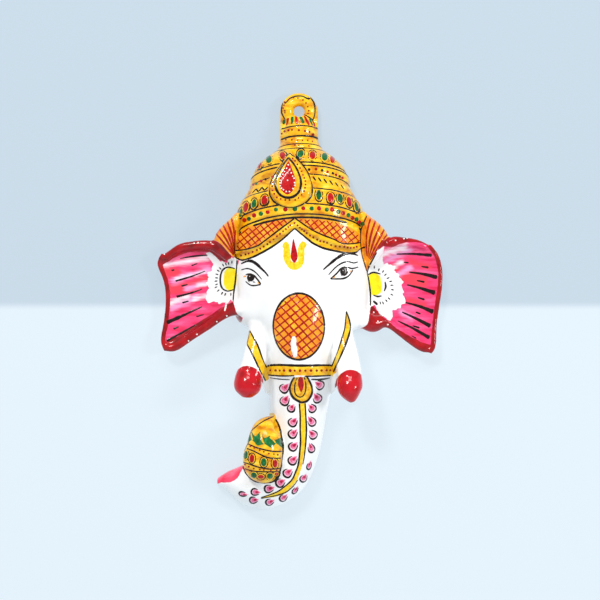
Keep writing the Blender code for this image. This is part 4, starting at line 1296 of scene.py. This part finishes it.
def mark_fields(made):
    """Stores each field of colour on the skin as a signed distance from its edge."""
    places = vertex_values(made, "co") / UNIT
    front = vertex_values(made, "normal")[:, 1] < FRONT_ONLY
    points = np.column_stack((places[:, 0] + HOLE_X, HOLE_Y - places[:, 2]))
    deep = -places[:, 1]
    left_ear = inside(points, LEFT_EAR_FIELD)
    right_ear = inside(points, RIGHT_EAR_FIELD)
    rims = np.maximum.reduce((
        np.minimum(left_ear, in_any(points, LEFT_TOP_RIM, LEFT_BOTTOM_RIM)),
        np.minimum(right_ear, in_any(points, RIGHT_TOP_RIM, RIGHT_BOTTOM_RIM)),
        OUTER_RIM_WIDTH - beside(points, LEFT_OUTER_RIM),
        OUTER_RIM_WIDTH - beside(points, RIGHT_OUTER_RIM),
    ))
    ears = np.maximum(
        np.minimum(left_ear, -inside(points, LEFT_WHITE_FIELD)),
        np.minimum(right_ear, -inside(points, RIGHT_WHITE_FIELD)),
    )
    for middle in (LEFT_LOBE_MIDDLE, RIGHT_LOBE_MIDDLE):
        ears = feathered(ears, points, middle)
    tips = np.maximum(in_oval(points, LEFT_TIP_OVAL), in_oval(points, RIGHT_TIP_OVAL))
    fields = {
        "crown": inside(points, CROWN_FIELD),
        "panel": in_any(points, LEFT_PANEL, RIGHT_PANEL),
        "knot": in_any(points, LEFT_KNOT_FIELD, RIGHT_KNOT_FIELD),
        "ear": ears,
        "pale": smears(points, PALE_SMEARS_AND_HIGHLIGHTS),
        "lilac": smears(points, LILAC_SMEARS),
        "coral": smears(points, CORAL_SMEARS),
        "rim": rims,
        "lobe": in_any(points, LEFT_LOBE_FIELD, RIGHT_LOBE_FIELD),
        "tip": np.where(deep > TIP_DEPTH, tips, NOT_THERE),
        "mouth": inside(points, MOUTH_FIELD),
        "sweet": inside(points, SWEET_FIELD),
        "zigzag": np.minimum(inside(points, SWEET_ZIGZAG), inside(points, SWEET_FIELD)),
        "oval": in_oval(points, FOREHEAD_OVAL),
        "yellow": in_any(points, BAND_FIELD, LEFT_RIBBON, RIGHT_RIBBON),
    }
    for name, values in fields.items():
        values = np.where(front, values, np.minimum(values, NOT_THERE)).astype(np.float32)
        made.data.attributes.new(name, "FLOAT", "POINT").data.foreach_set("value", values)


class Brush:
    """Lays films of paint on the skin, one mesh for each colour."""

    def __init__(self, skin):
        self.tree = skin_tree(skin)
        self.films = {colour: bmesh.new() for colour in PAINTS}

    def seen(self, x, y):
        """The place on the skin under a pixel of the photograph."""
        start = at(x - HOLE_X, HOLE_Y - y, GRID)
        hit = self.tree.ray_cast(start, Vector((0, 1, 0)))[0]
        return hit or self.tree.find_nearest(at(x - HOLE_X, HOLE_Y - y, EAR_EDGE_DEPTH))[0]

    def snapped(self, point):
        """The nearest place on the skin, and the way out of it."""
        place, normal, _, _ = self.tree.find_nearest(point)
        return place, normal

    def strip(self, colour, path, widths, layer=2):
        """A stroke through places on the skin, raised in its middle and sunk at its edges."""
        mesh = self.films[colour]
        count = len(path)
        if count < 2:
            return
        rows = []
        for k, point in enumerate(path):
            along = path[min(k + 1, count - 1)] - path[max(k - 1, 0)]
            place, normal = self.snapped(point)
            side = normal.cross(along).normalized()
            width = WIDTH_GAIN * width_at(widths, k / (count - 1)) + WIDTH_MORE
            half = 0.5 * UNIT * width * uneven(place)
            if k in (0, count - 1):
                half *= STROKE_END
            row = []
            for across, height in STROKE_PROFILE:
                spot, out = self.snapped(place + side * half * across)
                row.append(mesh.verts.new(spot + out * FILM_LIFT * layer * height * UNIT))
            rows.append(row)
        for first, second in zip(rows, rows[1:]):
            for k in range(len(first) - 1):
                mesh.faces.new((first[k], second[k], second[k + 1], first[k + 1]))

    def stroke(self, colour, points, widths, layer=2, closed=False):
        """A stroke through pixels of the photograph."""
        line = smooth_line(points, closed)
        if closed:
            line.append(line[0])
        self.strip(colour, [self.seen(x, y) for x, y in line], widths, layer)

    def strokes(self, colour, lines, layer=2):
        """Several strokes, each with its own widths."""
        for points, widths in lines:
            self.stroke(colour, points, widths, layer)

    def patch(self, colour, outline, layer=1, rings=PATCH_RINGS):
        """Fills a rounded outline of pixels, raised in its middle and sunk at its edge."""
        mesh = self.films[colour]
        x = sum(point[0] for point in outline) / len(outline)
        y = sum(point[1] for point in outline) / len(outline)
        loops = []
        for share, height in rings:
            loop = []
            for px, py in outline:
                place = self.seen(x + (px - x) * share, y + (py - y) * share)
                spot, out = self.snapped(place)
                loop.append(mesh.verts.new(spot + out * FILM_LIFT * layer * height * UNIT))
            loops.append(loop)
        spot, out = self.snapped(self.seen(x, y))
        middle = mesh.verts.new(spot + out * FILM_LIFT * layer * UNIT)
        turned = signed_area(outline) > 0
        for first, second in zip(loops, loops[1:]):
            bridge(mesh, first, second, turned)
        for k in range(len(loops[-1])):
            corners = (loops[-1][k], loops[-1][(k + 1) % len(loops[-1])], middle)
            mesh.faces.new(corners[::-1] if turned else corners)

    def fill(self, colour, outline, layer, step=2):
        """Fills a large outline, given by some of its pixels."""
        self.patch(colour, smooth_line(outline, closed=True, step=step), layer, WIDE_RINGS)

    def oval(self, colour, x, y, half_width, half_height, lean=0.0, layer=2):
        """A filled oval, leaning clockwise by some degrees."""
        turn = math.radians(lean)
        outline = []
        for cosine, sine in circle(ROUND_POINTS):
            across, down = half_width * cosine, half_height * sine
            outline.append((
                x + across * math.cos(turn) - down * math.sin(turn),
                y + across * math.sin(turn) + down * math.cos(turn),
            ))
        self.patch(colour, outline, layer)

    def dot(self, colour, x, y, radius, layer=4):
        """A round dab."""
        place = Vector((x * DOT_SPREAD[0], y * DOT_SPREAD[1], radius))
        size = radius * (1 + DOT_UNEVENNESS * noise.noise(place))
        self.oval(colour, x, y, size, size, layer=layer)

    def dots(self, colour, places, radius, layer=4):
        """Round dabs of about one size."""
        for x, y in places:
            self.dot(colour, x, y, radius, layer)

    def finish(self):
        """One object for each colour that was used."""
        made = []
        for colour, mesh in self.films.items():
            if mesh.verts:
                made.append((colour, new_object("paint_" + colour, mesh)))
            else:
                mesh.free()
        return made


def width_at(widths, share):
    """A stroke's width at a share of its length."""
    if len(widths) == 1:
        return widths[0]
    place = share * (len(widths) - 1)
    i = min(int(place), len(widths) - 2)
    return widths[i] + (widths[i + 1] - widths[i]) * (place - i)


def uneven(place):
    """A hand's unevenness in a stroke's width."""
    return 1 + STROKE_UNEVENNESS * noise.noise(place / (STROKE_WAVE * UNIT))


def signed_area(outline):
    """Twice the area of an outline of pixels, above zero where it runs clockwise as seen."""
    return sum(ax * by - bx * ay for (ax, ay), (bx, by) in zip(outline, outline[1:] + outline[:1]))


def crown_point(z, degrees):
    """A point of the crown's ring at a height of the front, turned from the front by an angle."""
    for upper, lower in zip(CROWN_RINGS, CROWN_RINGS[1:]):
        if z >= lower[0]:
            break
    share = (z - upper[0]) / (lower[0] - upper[0])
    drop, half_width, depth = (a + (b - a) * share for a, b in zip(upper[1:], lower[1:]))
    turn = math.radians(degrees)
    slant = CROWN_SLANT * math.sin(turn) * min(-z / CROWN_SLANT_SPAN, 1)
    slope = drop * (1 - math.cos(turn)) - slant
    return CROWN_SHIFT + half_width * math.sin(turn), z - slope, depth * math.cos(turn)


def paint_crown_line(brush, z, width):
    """A line round the crown, broken where the jewel stands in front of it."""
    path = []
    for degrees in range(-CROWN_LINE_REACH, CROWN_LINE_REACH + 1, CROWN_LINE_STEP):
        x, height, depth = crown_point(z, degrees)
        seen = brush.seen(HOLE_X + x, HOLE_Y - height)
        if abs(degrees) < JEWEL_SIDE and -seen.y / UNIT > depth + JEWEL_PROUD:
            brush.strip("black", path, (width,))
            path = []
        else:
            path.append(at(x, height, depth))
    brush.strip("black", path, (width,))


def gems(brush, ovals, colours):
    """Oval gems of alternating colours in gold collets with dark edges."""
    for (x, y, half_width, half_height, lean), colour in zip(ovals, cycle(colours)):
        for ring, wider, higher, layer in GEM_RINGS:
            brush.oval(ring or colour, x, y, half_width + wider, half_height + higher, lean, layer)


def paint_finial(brush):
    """The hanging eye and the three small rings below it."""
    brush.stroke("black", EYE_RING_LINE, EYE_RING_WIDTHS)
    brush.dots("dark_red", EYE_DOTS, EYE_DOT_SIZE)
    brush.stroke("black", FINIAL_LINE, FINIAL_LINE_WIDTHS)
    for stripe, colour in zip(FINIAL_STRIPES, cycle(GREEN_RED)):
        brush.stroke(colour, stripe, FINIAL_STRIPE_WIDTHS)
    for x, y, radius in FINIAL_DOTS:
        brush.dot("dark_red", x, y, FINIAL_DOT_SIZE * radius)


def paint_crown(brush):
    """Lines, gems and beads round the crown."""
    for z, width in CROWN_LINES:
        paint_crown_line(brush, z, width)
    gems(brush, UPPER_OVALS, GREEN_RED[::-1])
    gems(brush, LOWER_OVALS, GREEN_RED)
    for colour, x, y in ROPE_DOTS:
        brush.dot(colour, x, y, ROPE_DOT_SIZE)
    for points in ROPE_STROKES:
        brush.stroke("black", points, ROPE_WIDTHS)
    for (x, y), colour in zip(BOTTOM_DOTS, cycle(GREEN_RED)):
        brush.dot(colour, x, y, BOTTOM_DOT_SIZE, layer=3)


def paint_jewel(brush):
    """The drop on the crown's front, with its beads and pearls."""
    brush.stroke("black", JEWEL_OUTLINE, JEWEL_OUTLINE_WIDTHS)
    brush.stroke("black", JEWEL_INNER, JEWEL_INNER_WIDTHS)
    brush.fill("red", JEWEL_DROP, layer=3, step=2.5)
    brush.dots("white", JEWEL_PEARLS, PEARL_SIZE, layer=6)
    brush.dots("dark_red", JEWEL_RING_DOTS, RING_DOT_SIZE)


def clipped(start, end, keeps):
    """The parts of a straight line whose points are kept."""
    parts = max(int(math.dist(start, end) / STROKE_STEP), 1)
    points = [tuple(a + (b - a) * k / parts for a, b in zip(start, end)) for k in range(parts + 1)]
    run = []
    for point, kept in zip(points, keeps(points)):
        if kept:
            run.append(point)
        elif run:
            yield run
            run = []
    if run:
        yield run


def paint_lattice(brush, middle, reach, keeps, step=LATTICE_STEP, width=LATTICE_WIDTH):
    """Two sets of fine red lines that cross inside a field."""
    for degrees in LATTICE_ANGLES:
        turn = math.radians(degrees)
        along = (math.cos(turn), math.sin(turn))
        count = int(reach / step)
        for k in range(-count, count + 1):
            x = middle[0] - along[1] * k * step
            y = middle[1] + along[0] * k * step
            start = (x - along[0] * reach, y - along[1] * reach)
            end = (x + along[0] * reach, y + along[1] * reach)
            for run in clipped(start, end, keeps):
                if len(run) > 2:
                    path = [brush.seen(px, py) for px, py in run]
                    widths = (LATTICE_TAPER * width, width, LATTICE_TAPER * width)
                    brush.strip("rust", path, widths, layer=1.5)


def holds(outline, margin):
    """A test for which pixels lie inside an outline by a margin."""
    def keeps(points):
        return inside(np.array(points), outline) > margin
    return keeps


def paint_brow(brush):
    """The scalloped border over the brow and the lattice above it."""
    for line in (BROW_UPPER_LEFT, BROW_UPPER_RIGHT):
        brush.stroke("black", line, BROW_UPPER_WIDTHS)
    for line in (BROW_LOWER_LEFT, BROW_LOWER_RIGHT):
        brush.stroke("black", line, BROW_LOWER_WIDTHS)
    for line in (BROW_BEADS_LEFT, BROW_BEADS_RIGHT):
        brush.dots("dark_red", smooth_line(line, step=BEAD_STEP), BEAD_SIZE)
    for panel in (LEFT_PANEL, RIGHT_PANEL):
        paint_lattice(brush, LATTICE_MIDDLE, LATTICE_REACH, holds(panel, LATTICE_MARGIN))


def paint_face(brush):
    """Eyes, tilak and the lines between the face and the ears."""
    brush.strokes("black", FACE_LINES + EYE_LINES)
    for x, y, half_width, half_height in IRISES:
        brush.oval("black", x, y, half_width, half_height)
        brush.dot("white", x - GLINT_LEFT, y - GLINT_UP, GLINT_SIZE, layer=5)
    for line in IRIS_SHADES:
        brush.stroke("grey", line, IRIS_SHADE_WIDTHS, layer=1)
    for x, y in EYE_CORNERS:
        brush.oval("orange", x, y, *EYE_CORNER_SIZE, layer=1)
    brush.stroke("yellow", TILAK_U, TILAK_WIDTHS, layer=1.5)
    brush.fill("red", TILAK_DROP, layer=4)


def paint_oval(brush):
    """The lattice oval on the trunk's root."""
    x, y, half_width, half_height = FOREHEAD_OVAL
    rim = [(x + half_width * math.cos(math.radians(a)), y + half_height * math.sin(math.radians(a)))
           for a in range(0, 360, OVAL_RIM_STEP)]
    brush.stroke("black", rim, OVAL_RIM_WIDTHS, closed=True)

    def keeps(points):
        return in_oval(np.array(points), FOREHEAD_OVAL) > OVAL_MARGIN
    reach = half_height * OVAL_LATTICE_REACH
    paint_lattice(brush, (x, y), reach, keeps, OVAL_LATTICE_STEP, OVAL_LATTICE_WIDTH)
    brush.stroke("white", OVAL_HIGHLIGHT, OVAL_HIGHLIGHT_WIDTHS, layer=3)


def paint_trunk(brush):
    """Ribbons, the trunk's band, its pendant, and the garland down to the tip."""
    brush.strokes("black", RIBBON_LINES + BAND_LINES)
    for x, radius in BAND_DOTS:
        brush.dot("dark_red", x, BAND_DOT_Y, BAND_DOT_SIZE * radius)
    brush.fill("gold", PENDANT_OUTER, layer=3)
    brush.stroke("black", PENDANT_OUTER, PENDANT_OUTER_WIDTHS, layer=4)
    brush.stroke("black", PENDANT_INNER, PENDANT_INNER_WIDTHS, layer=4)
    brush.fill("red", PENDANT_DROP, layer=5)
    middle = [((a + c) / 2, (b + d) / 2) for (a, b), (c, d) in zip(STEM_LEFT, STEM_RIGHT)]
    widths = [STEM_FILL * math.dist(left, right) for left, right in zip(STEM_LEFT, STEM_RIGHT)]
    brush.stroke("yellow", middle, widths, layer=2.5)
    brush.strokes("black", STEM_LINES, layer=3.5)
    for petal in PETALS:
        paint_petal(brush, *petal)


def petal_outline(middle, point, length, width, share=1.0):
    """A drop whose pointed end looks to a pixel."""
    reach = math.dist(middle, point)
    ahead = ((point[0] - middle[0]) / reach, (point[1] - middle[1]) / reach)
    outline = []
    for k in range(PETAL_POINTS):
        angle = 2 * math.pi * k / PETAL_POINTS
        forward = 0.5 * length * share * math.cos(angle) + PETAL_SHIFT * length * (1 - share)
        across = PETAL_BELLY * width * share * math.sin(angle) * math.sin(angle / 2) ** PETAL_TAPER
        outline.append((
            middle[0] + ahead[0] * forward - ahead[1] * across,
            middle[1] + ahead[1] * forward + ahead[0] * across,
        ))
    return outline


def paint_petal(brush, middle, point, length, width):
    """A pale petal, pink towards its crimson point, with a dark arc round its blunt end."""
    for colour, share, layer in PETAL_FILLS:
        brush.patch(colour, petal_outline(middle, point, length, width, share), layer)
    longer, wider = PETAL_ARC_SIZE
    outline = petal_outline(middle, point, longer * length, wider * width)
    brush.stroke("black", outline[PETAL_ARC], PETAL_ARC_WIDTHS, layer=3)


def paint_sweet(brush):
    """Lines, beads and gems of the round sweet at the trunk's tip."""
    brush.strokes("black", SWEET_LINES)
    brush.dots("dark_red", SWEET_BEADS, SWEET_BEAD_SIZE)
    gems(brush, SWEET_OVALS, GREEN_RED)
    for points in SWEET_PRONGS:
        brush.stroke("gold", points, PRONG_WIDTHS, layer=3)


def paint_ears(brush):
    """Veins, the marks round the ear holes, the stripes of both knots, and white marks on the ears, among
    them painted highlights.
    """
    brush.strokes("black", LEFT_EAR_STROKES + RIGHT_EAR_STROKES + LOBE_ARCS)
    for middle, ticks in ((LEFT_LOBE_MIDDLE, LEFT_TICKS), (RIGHT_LOBE_MIDDLE, RIGHT_TICKS)):
        for x, y in ticks:
            reach = math.dist((x, y), middle) / (TICK_LENGTH / 2)
            across, down = (x - middle[0]) / reach, (y - middle[1]) / reach
            brush.stroke("black", ((x - across, y - down), (x + across, y + down)), TICK_WIDTHS)
    for stripe in LEFT_KNOT_STRIPES + RIGHT_KNOT_STRIPES:
        brush.stroke("rust", stripe, STRIPE_WIDTHS)
    # A painted highlight in white on the left ear's lower rim.
    brush.stroke("white", EAR_PAINTED_HIGHLIGHT, EAR_PAINTED_HIGHLIGHT_WIDTHS)
    # Dabs of white on the rims, partly painted highlights.
    for x, y, radius in WHITE_DABS_AND_HIGHLIGHTS:
        brush.oval("white", x, y, radius, radius)


def linear(colour):
    """A colour given in 0 to 255 as shader values."""
    made = []
    for value in colour:
        part = value / 255
        curved = ((part + CURVE_OFFSET) / (1 + CURVE_OFFSET)) ** CURVE_POWER
        made.append(part / CURVE_SLOPE if part <= CURVE_TOE else curved)
    return (*made, 1)


def feed(tree, made, inputs):
    """Sets a node's inputs, or links them where the value is an output."""
    for socket, value in inputs.items():
        if isinstance(value, bpy.types.NodeSocket):
            tree.links.new(value, made.inputs[socket])
        else:
            made.inputs[socket].default_value = value


def node(tree, kind, inputs=None, **settings):
    """Adds a shader node with its settings, values and links."""
    made = tree.nodes.new(kind)
    for name, value in settings.items():
        setattr(made, name, value)
    feed(tree, made, inputs or {})
    return made


def noise_value(tree, size, detail=3.0, stretch=(1, 1, 1), roughness=0.5):
    """Noise with features of about a size in units, stretched along some axes."""
    place = node(tree, "ShaderNodeTexCoord").outputs["Object"]
    scaled = node(tree, "ShaderNodeMapping", {"Vector": place, "Scale": stretch})
    texture = node(tree, "ShaderNodeTexNoise", {
        "Vector": scaled.outputs["Vector"], "Scale": 1 / (size * UNIT), "Detail": detail,
        "Roughness": roughness,
    })
    return texture.outputs["Fac"]


def mix(tree, factor, first, second):
    """A mix of two colours."""
    return node(tree, "ShaderNodeMix", {0: factor, 6: first, 7: second}, data_type="RGBA").outputs[2]


def ranged(tree, value, low, high, to_low=0.0, to_high=1.0):
    """A value's share of the way from low to high, as a smooth step."""
    made = node(tree, "ShaderNodeMapRange", {
        "Value": value, "From Min": low, "From Max": high, "To Min": to_low, "To Max": to_high,
    }, interpolation_type="SMOOTHSTEP")
    return made.outputs["Result"]


def mottled(tree, dark, base, light, size, stretch=(1, 1, 1)):
    """A paint's colour, uneven between a darker and a lighter neighbour."""
    grain = noise_value(tree, size, stretch=stretch)
    low = mix(tree, ranged(tree, grain, *DARK_RANGE), linear(dark), linear(base))
    return mix(tree, ranged(tree, grain, *LIGHT_RANGE), low, linear(light))


def edge_of(tree, name, softness=0.35, ragged=0.5, size=5.0, stretch=(1, 1, 1)):
    """A field's mask, with a hand-painted edge."""
    field = node(tree, "ShaderNodeAttribute", attribute_name=name).outputs["Fac"]
    grain = noise_value(tree, size, detail=2.0, stretch=stretch)
    wander = node(tree, "ShaderNodeMath", {0: grain, 1: 0.5}, operation="SUBTRACT").outputs[0]
    scaled = node(tree, "ShaderNodeMath", {0: wander, 1: ragged * 2}, operation="MULTIPLY").outputs[0]
    moved = node(tree, "ShaderNodeMath", {0: field, 1: scaled}, operation="ADD").outputs[0]
    return ranged(tree, moved, -softness, softness)


def new_material(name):
    """A material with its node tree and its shader."""
    material = bpy.data.materials.new(name)
    material.use_nodes = True
    return material, material.node_tree, material.node_tree.nodes["Principled BSDF"]


def bumped(tree, grain, strength, depth):
    """A normal that follows a grain, some units deep."""
    bump = node(tree, "ShaderNodeBump", {"Height": grain, "Strength": strength, "Distance": depth * UNIT})
    return bump.outputs["Normal"]


def enamel(name, roughness, coat, bump_size, bump):
    """A glossy enamel under a clear coat, without its colour yet."""
    material, tree, shader = new_material(name)
    grain = noise_value(tree, bump_size, detail=2.0)
    feed(tree, shader, {
        "IOR": ENAMEL_IOR, "Specular IOR Level": ENAMEL_SPECULAR,
        "Coat Weight": coat, "Coat Roughness": COAT_ROUGHNESS,
        "Roughness": ranged(tree, grain, *GLOSS_RANGE, roughness * GLOSS_LOW, roughness * GLOSS_HIGH),
        "Normal": bumped(tree, grain, ENAMEL_BUMP, bump),
    })
    return material, tree, shader


def paint_material(name, base, dark, light, roughness):
    """The enamel of one brush colour."""
    material, tree, shader = enamel(name, roughness, **BRUSHED_FINISH)
    feed(tree, shader, {"Base Color": mottled(tree, dark, base, light, BRUSHED_GRAIN)})
    return material


def skin_material():
    """White enamel with every large field of colour laid over it."""
    material, tree, shader = enamel("enamel_skin", **SKIN_FINISH)
    paints = {name: mottled(tree, *values) for name, values in ENAMELS.items()}
    # Darker patches at random over the gold.
    dark_patches = ranged(tree, noise_value(tree, DARK_PATCH_SIZE, detail=4), *DARK_PATCH_RANGE)
    paints["gold"] = mix(tree, dark_patches, paints["gold"], linear(DARK_GOLD_PATCHES))
    # Smears over the pink; the pale ones are partly painted highlights.
    for name, tint in SMEAR_TINTS:
        paints["pink"] = mix(tree, edge_of(tree, name, **SMEAR_EDGE), paints["pink"], linear(tint))
    colour = paints["white"]
    for name, paint, edge in FIELD_LAYERS:
        colour = mix(tree, edge_of(tree, name, **edge), colour, paints[paint])
    feed(tree, shader, {"Base Color": colour})
    return material


def bare_material():
    """The raw sand-cast inside and the filed back rim, with a little overspray."""
    material, tree, shader = new_material("bare_casting")
    spray = ranged(tree, noise_value(tree, OVERSPRAY_SIZE, detail=4), *OVERSPRAY_RANGE)
    grain = noise_value(tree, CASTING_GRAIN, detail=4, roughness=0.7)
    feed(tree, shader, {
        "Base Color": mix(tree, spray, mottled(tree, *BARE_METAL), linear(OVERSPRAY)),
        "Metallic": ranged(tree, spray, *CASTING_METALLIC),
        "Roughness": ranged(tree, grain, *CASTING_ROUGHNESS),
        "Normal": bumped(tree, grain, CASTING_BUMP, CASTING_BUMP_DEPTH),
    })
    return material


def dress(made, *materials):
    """Gives a piece its materials and ties it to the part."""
    for material in materials:
        made.data.materials.append(material)
    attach(made, "root")


def make_part():
    """The painted mask."""
    skin = make_skin()
    mark_fields(skin)
    brush = Brush(skin)
    for paint in (paint_finial, paint_crown, paint_jewel, paint_brow, paint_face, paint_oval,
                  paint_trunk, paint_sweet, paint_ears):
        paint(brush)
    dress(skin, skin_material(), bare_material())
    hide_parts("mask")
    for colour, made in brush.finish():
        made.data.shade_smooth()
        dress(made, paint_material("enamel_" + colour, *PAINTS[colour]))


def sheet(name, corners):
    """A flat sheet from its corners."""
    mesh = bmesh.new()
    mesh.faces.new([mesh.verts.new(corner) for corner in corners])
    return new_object(name, mesh)


def backdrop_material():
    """A matt wall in two pale tones, clear from behind, with a little glow for faint shadows."""
    material, tree, shader = new_material("backdrop")
    place = node(tree, "ShaderNodeTexCoord").outputs["Object"]
    height = node(tree, "ShaderNodeSeparateXYZ", {"Vector": place}).outputs["Z"]
    edge = (HOLE_Y - TONE_EDGE_Y) * UNIT
    share = ranged(tree, height, edge - TONE_BLUR * UNIT, edge + TONE_BLUR * UNIT)
    colour = mix(tree, share, linear(LOWER_TONE), linear(UPPER_TONE))
    feed(tree, shader, {
        "Base Color": mix(tree, (1 - WALL_GLOW) / WHITE_LEVEL, (0, 0, 0, 1), colour),
        "Emission Color": colour, "Emission Strength": WALL_GLOW,
        "Roughness": WALL_ROUGHNESS, "Specular IOR Level": 0,
    })
    rear = node(tree, "ShaderNodeNewGeometry").outputs["Backfacing"]
    clear = node(tree, "ShaderNodeBsdfTransparent").outputs[0]
    shown = node(tree, "ShaderNodeMixShader", {0: rear, 1: shader.outputs[0], 2: clear}).outputs[0]
    feed(tree, tree.nodes["Material Output"], {"Surface": shown})
    return material


def make_room():
    """The wall behind the mask and a floor far below it."""
    low = -ROOM * FLOOR_SHARE
    wall = sheet("backdrop", (
        (-ROOM, WALL_GAP, low), (ROOM, WALL_GAP, low), (ROOM, WALL_GAP, ROOM), (-ROOM, WALL_GAP, ROOM),
    ))
    floor = sheet("floor", (
        (-ROOM, -ROOM, low), (ROOM, -ROOM, low), (ROOM, WALL_GAP, low), (-ROOM, WALL_GAP, low),
    ))
    material = backdrop_material()
    for made in (wall, floor):
        made.data.materials.append(material)


def softbox(name, place, size, watts):
    """A square soft light turned to the lit place."""
    data = bpy.data.lights.new(name, "AREA")
    data.shape = "RECTANGLE"
    data.size, data.size_y = size
    data.energy = watts
    made = placed(name, data)
    made.location = place
    made.rotation_euler = (at(*LIT_PLACE) - Vector(place)).to_track_quat("-Z", "Y").to_euler()


def make_light():
    """Plain soft studio light."""
    for values in SOFTBOXES:
        softbox(*values)
    world = bpy.data.worlds.new("studio")
    world.use_nodes = True
    background = world.node_tree.nodes["Background"]
    background.inputs["Color"].default_value = (1, 1, 1, 1)
    background.inputs["Strength"].default_value = AMBIENT
    bpy.context.scene.world = world
    bpy.context.scene.view_settings.view_transform = "Standard"


def make_camera():
    """A long lens, square on, that frames the photograph's 600 pixels as 600 units."""
    data = bpy.data.cameras.new("camera")
    data.sensor_width = SENSOR
    data.lens = SENSOR * CAMERA_DISTANCE / (PHOTO_SIZE * UNIT)
    made = placed("camera", data)
    middle = at(PHOTO_MIDDLE[0] - HOLE_X, HOLE_Y - PHOTO_MIDDLE[1], MIDDLE_DEPTH)
    made.location = middle - Vector((0, CAMERA_DISTANCE, 0))
    made.rotation_euler = (math.pi / 2, 0, 0)
    bpy.context.scene.camera = made


make_part()
make_room()
make_light()
make_camera()
